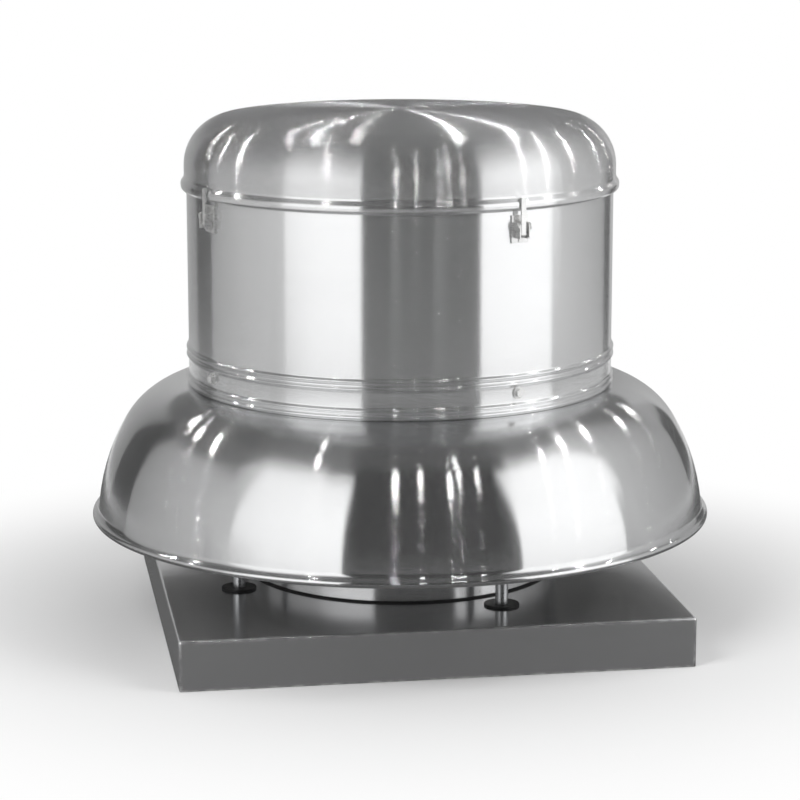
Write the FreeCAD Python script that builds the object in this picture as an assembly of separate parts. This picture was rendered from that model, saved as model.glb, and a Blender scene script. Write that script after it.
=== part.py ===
"""Downblast roof exhaust fan: spun aluminium housings round a belt-driven centrifugal wheel.

The fan stands on the rim of its curb cap at Z = 0, its wheel turns about Z, and azimuths are
counted from the front, -Y, towards +X. Lengths are in millimetres and angles in degrees.
"""
import FreeCAD, Part
import math
import os

Vector = FreeCAD.Vector
ORIGIN = Vector(0, 0, 0)
UP = Vector(0, 0, 1)
ALONG_X = Vector(1, 0, 0)
ALONG_Y = Vector(0, 1, 0)

# Clearances
seat_gap = 0.3
fixed_fit = 0.05
running_fit = 0.08
drill_gap = 0.3

# Curb cap
curb_side = 559.0
curb_height = 55.0
curb_sheet = 1.6
curb_bend = 3.0

# Inlet venturi, traced on its outer face
venturi_inset = 38.0
venturi_sheet = 1.3
venturi_flange = 16.0
venturi_foot_bend = 1.5
venturi_wall = 18.0
venturi_shoulder = 32.0
venturi_turn = 60.0
throat_radius = 112.0
throat_bend = 12.0
throat_lip = 8.0
seal_width = 4.0
seal_height = 2.2
seal_edge = 0.8

# Motor band
band_radius = 240.4
band_sheet = 1.5
band_height = 256.0
band_top_flange = 8.0
ridge_height = 2.6
ridge_width = 6.0
ridge_flat = 1.5
ridge_levels = (3.4, 10.4, 33.6, 41.6)
collar_screw_level = 23.6

# Places round the fan
corner_azimuths = (22.5, 112.5, 202.5, 292.5)
chase_azimuth = 180.0
post_inset = 28.4

# Support posts, their studs, isolators and nuts
post_radius = 7.0
post_length = 214.3
stud_radius = 4.0
isolator_radius = 19.5
isolator_thickness = 2.4
lower_isolator_radius = 15.0
lower_isolator_thickness = 5.0
isolator_edge = 0.7
stud_nut_flats = 13.0
stud_nut_height = 6.5
stud_washer_radius = 10.0
stud_washer = 1.6
stud_end = 3.0

# Windband, traced from its flange down to its rolled lip
windband_sheet = 1.3
windband_flange_margin = 14.0
windband_neck_inset = 5.8
neck_bend = 103.0
neck_turn = 15.8
shoulder_bend = 88.2
shoulder_turn = 43.8
skirt_bend = 232.8
skirt_turn = 24.5
flare_bend = 9.0
flare_turn = 59.0
lip_radius = 4.0
lip_turn = 215.0

# Motor pan, the floor of the motor compartment
pan_sheet = 2.0
pan_bend = 4.0
pan_rim_height = 33.0
shaft_opening = 16.0

# Top cap
cap_sheet = 1.5
cap_slip = 1.1
cap_wall = 27.0
cap_shoulder = 56.0
cap_blend = 17.0
cap_blend_turn = 15.0
cap_crown_slope = 4.3
bead_depth = 3.9
bead_height = 14.2
bead_slope_depth = 3.4
bead_slope_height = 4.6

# Toggle latches; offsets are counted outward from the band and down from the cap's rim
latch_plate = 1.5
latch_plate_width = 21.0
latch_plate_drop = 4.5
latch_plate_height = 29.5
latch_ear = 1.4
latch_ear_half_gap = 7.0
lever_pin_out = 7.0
lever_pin_drop = 16.0
lever_pin_radius = 1.6
hook_pin_out = 6.2
hook_pin_drop = 25.0
hook_pin_radius = 1.5
lever_cheek = 1.4
lever_half_width = 6.6
lever_round = 4.2
lever_back_out = 2.2
lever_web = 1.2
lever_tip_drop = 28.8
lever_tip_reach = 10.6
hook_half_width = 3.0
hook_thickness = 1.8
hook_eye = 2.5
hook_clearance = 0.5
hook_bite = 2.0
hook_top_above_bead = 0.3
latch_stub_gap = 1.8
latch_rivet_radius = 1.6
latch_rivet_head = 2.0
latch_rivet_head_height = 0.9
latch_rivet_places = ((-5.5, 3.2), (5.5, 3.2), (0.0, 27.0))
rivet_tail = 2.0

# Collar screws
collar_screw_radius = 3.0
collar_screw_length = 14.0
collar_screw_washer = 6.5
collar_screw_washer_height = 1.2
collar_screw_flats = 8.0
collar_screw_head = 4.0

# Wheel
wheel_radius = 172.0
wheel_overlap = 6.0
wheel_inlet_gap = 3.0
wheel_height = 102.0
wheel_sheet = 1.3
wheel_back = 2.0
wheel_inlet_lip = 8.0
wheel_flare_bend = 22.0
wheel_flare_turn = 62.0
blade_count = 10
blade_sheet = 2.0
blade_lag = 34.0
blade_start = 117.0
blade_end_margin = 1.0
blade_gap = 0.1
hub_radius = 20.0
hub_length = 33.0
hub_flange_radius = 34.0
hub_flange = 6.0
hub_bolt_circle = 27.0
hub_bolt_radius = 2.5
hub_bolt_flats = 8.0
hub_bolt_head = 3.5
hub_bolt_count = 4

# Fan shaft and its pillow-block bearings
shaft_radius = 9.525
shaft_rise = 247.0
bearing_centre_height = 33.3
bearing_levels = (38.0, 153.0)
bearing_half_width = 16.0
bearing_housing_radius = 31.0
bearing_foot_half_length = 63.5
bearing_foot_half_width = 19.0
bearing_foot = 12.0
bearing_neck_half = 24.0
bearing_ring_radius = 16.0
bearing_ring_half = 18.0
locking_collar_radius = 17.0
locking_collar = 9.0
bearing_bolt_half_spacing = 47.5
bearing_bolt_radius = 4.75
bearing_bolt_flats = 15.0
bearing_bolt_head = 6.0

# Drive frame
frame_foot = 4.0
frame_foot_half_width = 75.0
frame_foot_back = 45.0
frame_foot_front = 95.0
frame_web = 4.0
frame_web_half_width = 70.0
frame_web_height = 191.0
frame_flange = 30.0
frame_bolt_radius = 4.0
frame_bolt_flats = 13.0
frame_bolt_head = 5.0
frame_bolt_margin = 11.0

# Motor plate and the studs that tension the belt
plate_gap = 14.0
plate_thickness = 5.0
plate_half_width = 65.0
plate_levels = (15.0, 166.0)
tension_stud_levels = (70.0, 125.0)
tension_stud_half_spacing = 56.0
tension_stud_radius = 4.0
tension_stud_end = 12.0
tension_nut_flats = 13.0
tension_nut = 5.0

# Motor
motor_radius = 70.0
motor_bore = 30.0
motor_axis_height = 76.0
motor_levels = (30.0, 150.0)
motor_bell = 15.0
motor_bell_end = 44.0
motor_boss_radius = 19.0
motor_boss = 4.0
motor_vent_count = 8
motor_vent_radius = 5.0
motor_vent_circle = 34.0
motor_shaft_radius = 7.9375
motor_foot_sheet = 3.0
motor_foot_half_width = 46.0
motor_foot_levels = (36.0, 144.0)
motor_saddle_half_width = 28.0
motor_bolt_half_spacing = 38.0
motor_bolt_levels = (48.0, 132.0)
motor_bolt_radius = 3.5
motor_bolt_flats = 11.0
motor_bolt_head = 4.5

# Sheaves and the V-belt, an A section
sheave_level = 217.0
driven_pitch = 57.0
driver_pitch = 38.0
belt_top = 12.7
belt_above_pitch = 2.6
belt_below_pitch = 5.4
belt_slope = 18.0
belt_gap = 0.25
groove_extra = 2.2
sheave_over_belt = 0.6
sheave_half_rim = 9.5
sheave_rim = 7.0
sheave_web = 7.0
driven_hub_radius = 19.0
driver_hub_radius = 15.0
sheave_hub_rise = 16.0
sheave_hub_wall = 4.0
set_screw_radius = 3.0

# Wiring chase and its locknuts
chase_radius = 10.65
chase_wall = 1.5
chase_drop = 20.0
chase_rise = 9.0
locknut_flats = 28.0
locknut = 4.0

# Disconnect switch
switch_half_width = 30.0
switch_depth = 50.0
switch_height = 100.0
switch_wall = 1.6
switch_behind_chase = 20.0
switch_slot_half_width = 5.5
switch_slot_half_height = 9.0
toggle_set_back = 9.0
toggle_barrel = 6.0
toggle_half_length = 8.0
toggle_trunnion = 3.0
toggle_reach = 24.0
toggle_radius = 3.4
toggle_neck_radius = 2.4
toggle_tilt = 22.0
switch_ear = 2.0
switch_ear_half_height = 6.0

# Flexible conduit, its fittings and the motor's terminal box
conduit_radius = 6.5
conduit_bend = 60.0
conduit_rise = 20.0
fitting_flats = 20.0
fitting_height = 10.0
terminal_half_length = 26.0
terminal_height = 50.0
terminal_depth = 34.0
terminal_sink = 8.0
terminal_level = 70.0

# Derived places
post_circle = band_radius - post_inset
venturi_radius = post_circle - venturi_inset
curb_floor = curb_height - curb_sheet
post_foot_level = curb_height + isolator_thickness
windband_top = post_foot_level + post_length + windband_sheet
pan_top = windband_top + pan_sheet
band_bottom = windband_top + seat_gap
band_top = band_bottom + band_height
band_inner = band_radius - band_sheet
cap_inner = band_radius + cap_slip
cap_radius = cap_inner + cap_sheet
belt_plane = pan_top + sheave_level
sheave_screw_level = belt_plane + (sheave_half_rim + sheave_hub_rise) / 2
frame_face = bearing_centre_height
motor_x = frame_face + frame_web + plate_gap + plate_thickness + motor_axis_height
terminal_y = motor_radius + (terminal_depth - terminal_sink) / 2


# Plain solids
def block(x, y, z):
    """A box between the limits of the three pairs."""
    return Part.makeBox(x[1] - x[0], y[1] - y[0], z[1] - z[0], Vector(x[0], y[0], z[0]))


def rod(radius, low, high, x=0.0, y=0.0):
    """A cylinder along Z."""
    return Part.makeCylinder(radius, high - low, Vector(x, y, low))


def rod_x(radius, start, end, y, z):
    """A cylinder along X."""
    return Part.makeCylinder(radius, end - start, Vector(start, y, z), ALONG_X)


def rod_y(radius, start, end, x, z):
    """A cylinder along Y."""
    return Part.makeCylinder(radius, end - start, Vector(x, start, z), ALONG_Y)


def ring(inner, outer, low, high, x=0.0, y=0.0):
    """A washer or tube along Z."""
    return rod(outer, low, high, x, y).cut(rod(inner, low - 1, high + 1, x, y))


def hexagon(flats, height, base, direction):
    """A hexagonal prism that stands on base and points along direction."""
    corner = flats / math.sqrt(3)
    points = []
    for step in range(7):
        angle = math.radians(60 * step)
        points.append(Vector(corner * math.cos(angle), corner * math.sin(angle), 0))
    prism = Part.Face(Part.makePolygon(points)).extrude(Vector(0, 0, height))
    turn = FreeCAD.Rotation(UP, direction)
    prism.Placement = FreeCAD.Placement(base, turn)
    return prism


def turned(points):
    """A solid of revolution about Z from an outline of (radius, height) points."""
    corners = [Vector(radius, 0, height) for radius, height in points]
    outline = Part.makePolygon(corners + corners[:1])
    return Part.Face(outline).revolve(ORIGIN, UP, 360)


def drawn(points, low, high):
    """A prism along Y from an outline of (x, z) points."""
    corners = [Vector(x, low, z) for x, z in points]
    outline = Part.makePolygon(corners + corners[:1])
    return Part.Face(outline).extrude(Vector(0, high - low, 0))


def at_azimuth(shape, azimuth):
    """A copy of a shape built on the +X side, carried round to an azimuth from the front."""
    copy = shape.copy()
    copy.rotate(ORIGIN, UP, azimuth - 90)
    return copy


def round_point(radius, azimuth, height=0.0):
    """The point at a radius and an azimuth from the front."""
    angle = math.radians(azimuth - 90)
    return Vector(radius * math.cos(angle), radius * math.sin(angle), height)


def save(node, solids):
    """Writes one node, which is one solid or a group of them."""
    shape = solids[0] if len(solids) == 1 else Part.makeCompound(solids)
    shape.exportStep("parts/%s.step" % node)


class SpunWall:
    """A sheet wall traced by straights and bends in the plane of radius and height.

    The traced face is the outer one where the thickness is positive to the left of the way
    traced, and a left bend has a positive angle.
    """

    def __init__(self, radius, height, heading, thickness):
        self.place = (radius, height)
        self.heading = math.radians(heading)
        self.thickness = thickness
        self.face = []
        self.back = []
        self.start = self.place
        self.back_start = self.beside(self.place, self.heading, thickness)
        self.back_place = self.back_start

    @staticmethod
    def beside(place, heading, distance):
        """The point at a distance to the left of a place on the way."""
        return (place[0] - math.sin(heading) * distance, place[1] + math.cos(heading) * distance)

    @staticmethod
    def edge(points):
        """A line through two points or an arc through three."""
        corners = [Vector(radius, 0, height) for radius, height in points]
        if len(corners) == 2:
            return Part.makeLine(corners[0], corners[1])
        return Part.Arc(corners[0], corners[1], corners[2]).toShape()

    def add(self, stations, walled):
        """Adds one stretch, given as its places and headings, to the face and to its back."""
        self.face.append(self.edge([place for place, _ in stations]))
        if walled:
            behind = [self.beside(place, heading, self.thickness) for place, heading in stations]
            self.back.append(self.edge(behind))
            self.back_place = behind[-1]
        self.place, self.heading = stations[-1]

    def straight(self, length, walled=True):
        """Goes on along the heading."""
        step = (length * math.cos(self.heading), length * math.sin(self.heading))
        end = (self.place[0] + step[0], self.place[1] + step[1])
        self.add([(self.place, self.heading), (end, self.heading)], walled)

    def bend(self, radius, angle, walled=True):
        """Goes round an arc of the traced face; positive angles turn left."""
        side = 1 if angle > 0 else -1
        centre = self.beside(self.place, self.heading, side * radius)
        middle = self.heading + math.radians(angle) / 2
        end = self.heading + math.radians(angle)
        stations = [(self.place, self.heading)]
        for heading in (middle, end):
            stations.append((self.beside(centre, heading, -side * radius), heading))
        self.add(stations, walled)

    def solid(self, rim=()):
        """The wall revolved about Z; rim points close its end from the face to the back."""
        closing = [self.place] + list(rim) + [self.back_place]
        edges = list(self.face)
        for first, second in zip(closing, closing[1:]):
            edges.append(self.edge([first, second]))
        edges += self.back[::-1]
        edges.append(self.edge([self.back_start, self.start]))
        return Part.Face(Part.Wire(edges)).revolve(ORIGIN, UP, 360)

    def below(self, floor):
        """The body of revolution between the traced face and a floor height."""
        edges = list(self.face)
        corners = [self.place, (self.place[0], floor), (self.start[0], floor), self.start]
        for first, second in zip(corners, corners[1:]):
            edges.append(self.edge([first, second]))
        return Part.Face(Part.Wire(edges)).revolve(ORIGIN, UP, 360)


# Curb cap
def folded_lid(side, low, high, radius):
    """A square block with its top and upright edges rounded."""
    half = side / 2
    lid = block((-half, half), (-half, half), (low, high))
    edges = [edge for edge in lid.Edges if max(v.Z for v in edge.Vertexes) > high - 1e-6]
    return lid.makeFillet(radius, edges)


def post_holes(radius, low, high):
    """The drillings for the four posts' studs."""
    holes = []
    for azimuth in corner_azimuths:
        place = round_point(post_circle, azimuth)
        holes.append(rod(radius, low, high, place.x, place.y))
    return holes


def chase_hole(low, high, gap=drill_gap):
    """The hole that the wiring chase goes through."""
    place = round_point(post_circle, chase_azimuth)
    return rod(chase_radius + gap, low, high, place.x, place.y)


def make_curb_cap():
    """The folded square pan that drops over the roof curb."""
    outside = folded_lid(curb_side, 0, curb_height, curb_bend)
    inside = folded_lid(curb_side - 2 * curb_sheet, -1, curb_floor, curb_bend - curb_sheet)
    cap = outside.cut(inside)
    opening = rod(venturi_radius + venturi_foot_bend + seat_gap, 0, curb_height + 1)
    holes = post_holes(stud_radius + drill_gap, 0, curb_height + 1)
    return cap.cut([opening, chase_hole(0, curb_height + 1)] + holes)


# Inlet venturi
def trace_venturi():
    """The venturi's outer face, from its flange under the curb cap up to the throat."""
    wall = SpunWall(venturi_radius + venturi_flange, curb_floor, 180, venturi_sheet)
    turn = math.radians(venturi_turn)
    bends = (venturi_shoulder + throat_bend) * (1 - math.cos(turn))
    cone = (venturi_radius - throat_radius - bends) / math.sin(turn)
    wall.straight(venturi_flange - venturi_foot_bend)
    wall.bend(venturi_foot_bend, -90)
    wall.straight(venturi_wall)
    wall.bend(venturi_shoulder, venturi_turn)
    wall.straight(cone)
    wall.bend(throat_bend, -venturi_turn)
    wall.straight(throat_lip)
    return wall


throat_top = trace_venturi().place[1]


def make_venturi_seal():
    """The dark bead of sealant round the foot of the venturi's wall, on the curb cap."""
    inner = venturi_radius + fixed_fit
    outer = venturi_radius + seal_width
    top = curb_height + seal_height
    return turned([
        (inner, curb_height),
        (outer, curb_height),
        (outer, curb_height + seal_edge),
        (inner + seal_edge, top),
        (inner, top),
    ])


# Support posts and what clamps them
post_stud_low = curb_floor - lower_isolator_thickness - stud_washer - stud_nut_height - stud_end
post_stud_high = pan_top + stud_nut_height + stud_end


def make_post(azimuth):
    """One post with a stud at each end."""
    place = round_point(post_circle, azimuth)
    post = rod(post_radius, post_foot_level, post_foot_level + post_length, place.x, place.y)
    return post.fuse(rod(stud_radius, post_stud_low, post_stud_high, place.x, place.y)).removeSplitter()


def make_isolators():
    """A rubber ring above the curb cap's sheet and one below it at each post."""
    rings = []
    bore = stud_radius + fixed_fit
    for azimuth in corner_azimuths:
        place = round_point(post_circle, azimuth)
        disc = rod(isolator_radius, curb_height, post_foot_level, place.x, place.y)
        disc = disc.makeFillet(isolator_edge, [disc.Edges[0], disc.Edges[2]])
        rings.append(disc.cut(rod(bore, 0, windband_top, place.x, place.y)))
        low = curb_floor - lower_isolator_thickness
        rings.append(ring(bore, lower_isolator_radius, low, curb_floor, place.x, place.y))
    return rings


def stud_nut(base, direction, washer):
    """A nut on a stud, on its washer where it has one."""
    bore = stud_radius + fixed_fit
    axis = direction * (1 / direction.Length)
    seat = base + axis * washer
    nut = hexagon(stud_nut_flats, stud_nut_height, seat, axis)
    if washer:
        nut = nut.fuse(Part.makeCylinder(stud_washer_radius, washer, base, axis))
    return nut.cut(Part.makeCylinder(bore, 4 * stud_nut_height, base - axis, axis))


def make_post_nuts():
    """The nuts under the curb cap and on the motor pan."""
    nuts = []
    for azimuth in corner_azimuths:
        foot = round_point(post_circle, azimuth, curb_floor - lower_isolator_thickness)
        nuts.append(stud_nut(foot, -UP, stud_washer))
        nuts.append(stud_nut(round_point(post_circle, azimuth, pan_top), UP, 0))
    return nuts


# Windband
def make_windband():
    """The spun skirt that turns the air downward, with its lip rolled round a wire."""
    wall = SpunWall(post_circle - windband_flange_margin, windband_top, 0, -windband_sheet)
    flat = band_radius - windband_neck_inset - wall.place[0]
    wall.straight(flat)
    wall.bend(neck_bend, -neck_turn)
    wall.bend(shoulder_bend, -shoulder_turn)
    wall.bend(skirt_bend, -skirt_turn)
    wall.bend(flare_bend, flare_turn, walled=False)
    wall.bend(lip_radius, -lip_turn, walled=False)
    low = windband_top - 2 * windband_sheet
    high = windband_top + 1
    holes = post_holes(stud_radius + drill_gap, low, high)
    return wall.solid().cut(holes + [chase_hole(low, high)])


# Motor pan
def frame_bolt_places():
    """The corners of the drive frame's foot plate, as (x, y)."""
    places = []
    for x in (-frame_foot_back + frame_bolt_margin, frame_foot_front - frame_bolt_margin):
        for side in (-1, 1):
            places.append((x, side * (frame_foot_half_width - frame_bolt_margin)))
    return places


def collar_drillings(radius):
    """Radial drillings through band and pan rim for the collar screws."""
    level = band_bottom + collar_screw_level
    start = band_radius - 2 * collar_screw_length
    hole = rod_x(radius, start, band_radius + collar_screw_length, 0, level)
    return [at_azimuth(hole, azimuth) for azimuth in corner_azimuths]


def make_motor_pan():
    """The pan that carries the drive and closes the motor compartment below."""
    wall = SpunWall(shaft_opening, windband_top, 0, pan_sheet)
    rim = band_inner - fixed_fit
    wall.straight(rim - pan_bend - shaft_opening)
    wall.bend(pan_bend, 90)
    wall.straight(pan_rim_height - pan_bend)
    low = windband_top - 1
    high = pan_top + 1
    cuts = post_holes(stud_radius + drill_gap, low, high) + [chase_hole(low, high)]
    for x, y in frame_bolt_places():
        cuts.append(rod(frame_bolt_radius + drill_gap, low, high, x, y))
    return wall.solid().cut(cuts + collar_drillings(collar_screw_radius + drill_gap))


# Motor band
def make_motor_band():
    """The cylinder round the motor compartment, with rolled ridges and a flange at its top."""
    outline = [(band_inner, band_bottom), (band_radius, band_bottom)]
    for level in ridge_levels:
        middle = band_bottom + level
        outline.append((band_radius, middle - ridge_width / 2))
        outline.append((band_radius + ridge_height, middle - ridge_flat / 2))
        outline.append((band_radius + ridge_height, middle + ridge_flat / 2))
        outline.append((band_radius, middle + ridge_width / 2))
    outline.append((band_radius, band_top))
    outline.append((band_radius - band_top_flange, band_top))
    outline.append((band_radius - band_top_flange, band_top - band_sheet))
    outline.append((band_inner, band_top - band_sheet))
    cuts = collar_drillings(collar_screw_radius + drill_gap)
    for hole in latch_drillings(latch_rivet_radius + fixed_fit):
        cuts += [at_azimuth(hole, azimuth) for azimuth in corner_azimuths]
    return turned(outline).cut(cuts)


def make_collar_screws():
    """Hex washer head screws that hold the band to the pan's rim."""
    level = band_bottom + collar_screw_level
    seat = band_radius + fixed_fit
    washer_end = seat + collar_screw_washer_height
    screw = rod_x(collar_screw_radius, seat - collar_screw_length, seat, 0, level)
    screw = screw.fuse(rod_x(collar_screw_washer, seat, washer_end, 0, level))
    head = hexagon(collar_screw_flats, collar_screw_head, Vector(washer_end, 0, level), ALONG_X)
    screw = screw.fuse(head).removeSplitter()
    return [at_azimuth(screw, azimuth) for azimuth in corner_azimuths]


# Top cap
cap_shoulder_level = band_top - math.sqrt(
    (cap_shoulder - cap_sheet - seat_gap) ** 2 - (cap_shoulder - cap_sheet - cap_slip) ** 2
)
cap_rim = cap_shoulder_level - cap_wall
bead_top = cap_rim + bead_height
bead_widest = bead_top - bead_slope_height


def make_top_cap():
    """The domed cover; its shoulder rests on the band's top edge and its rim ends in a bead."""
    slope = math.radians(cap_crown_slope)
    steep = math.radians(cap_crown_slope + cap_blend_turn)
    shoulder_reach = cap_shoulder * (1 - math.sin(steep))
    blend_reach = cap_blend * (math.sin(steep) - math.sin(slope))
    crown_edge = cap_radius - shoulder_reach - blend_reach
    crown_bend = crown_edge / math.sin(slope)
    rise = cap_shoulder * math.cos(steep) + cap_blend * (math.cos(slope) - math.cos(steep))
    rise += crown_bend * (1 - math.cos(slope))
    wall = SpunWall(0, cap_shoulder_level + rise, 0, -cap_sheet)
    wall.bend(crown_bend, -cap_crown_slope)
    wall.bend(cap_blend, -cap_blend_turn)
    wall.bend(cap_shoulder, cap_crown_slope + cap_blend_turn - 90)
    wall.straight(cap_shoulder_level - bead_top)
    slope_foot = (cap_radius + bead_slope_depth, bead_widest)
    widest = (cap_radius + bead_depth, bead_widest - bead_slope_height / 2)
    under = (cap_radius + bead_slope_depth, cap_rim + bead_slope_height / 2)
    rim = [slope_foot, widest, under, (cap_radius, cap_rim), (cap_inner, cap_rim)]
    return wall.solid(rim)


# Toggle latches, built on the +X side and carried round
latch_face = band_radius + fixed_fit
latch_front = latch_face + latch_plate
lever_pin = (latch_face + lever_pin_out, cap_rim - lever_pin_drop)
hook_pin = (latch_face + hook_pin_out, cap_rim - hook_pin_drop)


def latch_rivet_points():
    """The places of one latch's rivets, as (y, z)."""
    return [(y, cap_rim - latch_plate_drop - drop) for y, drop in latch_rivet_places]


def latch_drillings(radius):
    """The holes for one latch's rivets, through its plate and the band."""
    return [rod_x(radius, band_inner - rivet_tail, latch_front + 1, y, z) for y, z in latch_rivet_points()]


def make_latch_base(azimuth):
    """The plate riveted to the band, with an ear and a stub pin each side of the lever."""
    top = cap_rim - latch_plate_drop
    half = latch_plate_width / 2
    plate = block((band_radius - 1, latch_front), (-half, half), (top - latch_plate_height, top))
    plate = plate.cut(rod(latch_face, 0, top + 1))
    plate = plate.cut(latch_drillings(latch_rivet_radius + fixed_fit))
    low = lever_pin[1] - lever_round
    high = lever_pin[1] + lever_round
    for side in (-1, 1):
        across = sorted((side * latch_ear_half_gap, side * (latch_ear_half_gap + latch_ear)))
        pin_across = sorted((side * (latch_ear_half_gap - latch_stub_gap), across[0], across[1]))
        ear = block((latch_front - latch_plate / 2, lever_pin[0]), across, (low, high))
        ear = ear.fuse(rod_y(lever_round, across[0], across[1], lever_pin[0], lever_pin[1]))
        stub = rod_y(lever_pin_radius, pin_across[0], pin_across[-1], lever_pin[0], lever_pin[1])
        plate = plate.fuse([ear, stub])
    return at_azimuth(plate.removeSplitter(), azimuth)


def make_latch_lever(azimuth):
    """The channel-shaped lever: two cheeks, a web behind them and a forked finger lip."""
    low = cap_rim - lever_tip_drop
    back = latch_face + lever_back_out
    front = lever_pin[0] + lever_round
    cheeks = []
    for side in (-1, 1):
        across = sorted((side * lever_half_width, side * (lever_half_width - lever_cheek)))
        cheek = block((back, front), across, (low, lever_pin[1]))
        cheek = cheek.fuse(rod_y(lever_round, across[0], across[1], lever_pin[0], lever_pin[1]))
        lip_across = sorted((side * lever_half_width, side * (hook_half_width + hook_clearance)))
        lip = block((back, latch_face + lever_tip_reach), lip_across, (low, low + lever_web))
        cheeks.append(cheek.fuse(lip))
    web = block((back, back + lever_web), (-lever_half_width, lever_half_width),
                (low, hook_pin[1] + hook_eye))
    lever = web.fuse(cheeks)
    half = latch_plate_width
    bore = rod_y(lever_pin_radius + running_fit, -half, half, lever_pin[0], lever_pin[1])
    hook_bore = rod_y(hook_pin_radius + running_fit, -half, half, hook_pin[0], hook_pin[1])
    return at_azimuth(lever.cut([bore, hook_bore]).removeSplitter(), azimuth)


def make_latch_hook(azimuth):
    """The hook with its cross pin; its tip bears on the slope of the cap's bead."""
    inner = cap_radius + bead_depth + hook_clearance
    outer = inner + hook_thickness
    top = bead_top + hook_top_above_bead
    rise = bead_slope_height / bead_slope_depth
    lift = seat_gap * math.hypot(1, rise)
    tip = cap_radius + bead_depth - hook_bite

    def bead_side(radius):
        """The height of the tip's sloped underside at a radius."""
        return bead_top - (radius - cap_radius) * rise + lift

    outline = [
        (outer, hook_pin[1]),
        (outer, top),
        (tip, top),
        (tip, bead_side(tip)),
        (inner, bead_side(inner)),
        (inner, hook_pin[1]),
    ]
    hook = drawn(outline, -hook_half_width, hook_half_width)
    eye = rod_y(hook_eye, -hook_half_width, hook_half_width, hook_pin[0], hook_pin[1])
    pin = rod_y(hook_pin_radius, -lever_half_width, lever_half_width, hook_pin[0], hook_pin[1])
    return at_azimuth(hook.fuse([eye, pin]).removeSplitter(), azimuth)


def make_latch_rivets():
    """Three rivets for each latch plate."""
    rivets = []
    tail = band_inner - rivet_tail
    head_end = latch_front + latch_rivet_head_height
    for y, z in latch_rivet_points():
        rivet = rod_x(latch_rivet_radius, tail, head_end, y, z)
        rivet = rivet.fuse(rod_x(latch_rivet_head, latch_front, head_end, y, z)).removeSplitter()
        rivets += [at_azimuth(rivet, azimuth) for azimuth in corner_azimuths]
    return rivets


# Wheel
wheel_bottom = throat_top - wheel_overlap
wheel_back_low = wheel_bottom + wheel_height
wheel_back_high = wheel_back_low + wheel_back
hub_low = wheel_back_low - hub_length
hub_screw_level = (hub_low + wheel_back_low - hub_flange) / 2


def trace_wheel_shroud():
    """The air side of the wheel's inlet ring and shroud."""
    wall = SpunWall(throat_radius + wheel_inlet_gap, wheel_bottom, 90, -wheel_sheet)
    wall.straight(wheel_inlet_lip)
    wall.bend(wheel_flare_bend, -wheel_flare_turn)
    wall.straight((wheel_radius - wall.place[0]) / math.cos(wall.heading))
    return wall


def make_wheel_blades():
    """Flat blades that lean back from the way the wheel turns, trimmed to shroud and back plate."""
    lag = math.radians(blade_lag)
    start = Vector(blade_start, 0, wheel_bottom)
    reach = wheel_radius
    end = Vector(reach * math.cos(lag), -reach * math.sin(lag), wheel_bottom)
    along = end - start
    across = Vector(-along.y, along.x, 0)
    across = across * (blade_sheet / 2 / across.Length)
    corners = [start - across, end - across, end + across, start + across]
    blade = Part.Face(Part.makePolygon(corners + corners[:1]))
    blade = blade.extrude(Vector(0, 0, wheel_height - blade_gap))
    under = trace_wheel_shroud().below(wheel_bottom - 1)
    under.translate(Vector(0, 0, blade_gap))
    outside = ring(wheel_radius - blade_end_margin, 2 * wheel_radius, 0, windband_top)
    blade = blade.cut([under, outside])
    blades = []
    for step in range(blade_count):
        copy = blade.copy()
        copy.rotate(ORIGIN, UP, 360 * step / blade_count)
        blades.append(copy)
    return blades


def hub_bolt_points():
    """The places of the bolts that join the hub to the back plate, as (x, y)."""
    points = []
    for step in range(hub_bolt_count):
        angle = 2 * math.pi * (step + 0.5) / hub_bolt_count
        points.append((hub_bolt_circle * math.cos(angle), hub_bolt_circle * math.sin(angle)))
    return points


def make_wheel_back():
    """The wheel's flat back plate."""
    plate = ring(shaft_radius + fixed_fit, wheel_radius, wheel_back_low, wheel_back_high)
    radius = hub_bolt_radius + fixed_fit
    return plate.cut([rod(radius, 0, band_top, x, y) for x, y in hub_bolt_points()])


def make_wheel_hub():
    """The turned hub under the back plate, drilled for its bolts and its set screw."""
    flange_low = wheel_back_low - hub_flange
    hub = rod(hub_radius, hub_low, wheel_back_low)
    hub = hub.fuse(rod(hub_flange_radius, flange_low, wheel_back_low))
    holes = [rod(shaft_radius + fixed_fit, 0, band_top)]
    radius = hub_bolt_radius + fixed_fit
    holes += [rod(radius, flange_low - 1, band_top, x, y) for x, y in hub_bolt_points()]
    holes.append(rod_x(set_screw_radius + fixed_fit, 0, hub_radius + 1, 0, hub_screw_level))
    return hub.removeSplitter().cut(holes)


def make_hub_bolts():
    """Bolts through the back plate and the hub's flange."""
    bolts = []
    low = wheel_back_low - hub_flange
    for x, y in hub_bolt_points():
        head = hexagon(hub_bolt_flats, hub_bolt_head, Vector(x, y, wheel_back_high), UP)
        bolts.append(head.fuse(rod(hub_bolt_radius, low, wheel_back_high, x, y)))
    return bolts


# Fan shaft, bearings and their inner rings
def make_bearing(level):
    """A pillow block whose foot stands on the drive frame's web."""
    z = pan_top + level
    half = bearing_half_width
    foot_half = bearing_foot_half_width
    foot_length = bearing_foot_half_length
    foot = block((frame_face - bearing_foot, frame_face), (-foot_length, foot_length),
                 (z - foot_half, z + foot_half))
    neck = block((0, frame_face), (-bearing_neck_half, bearing_neck_half), (z - half, z + half))
    housing = rod(bearing_housing_radius, z - half, z + half).fuse([neck, foot]).removeSplitter()
    cuts = [rod(bearing_ring_radius + running_fit, z - 2 * half, z + 2 * half)]
    for side in (-1, 1):
        y = side * bearing_bolt_half_spacing
        cuts.append(rod_x(bearing_bolt_radius + drill_gap, 0, frame_face + 1, y, z))
    return housing.cut(cuts)


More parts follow.
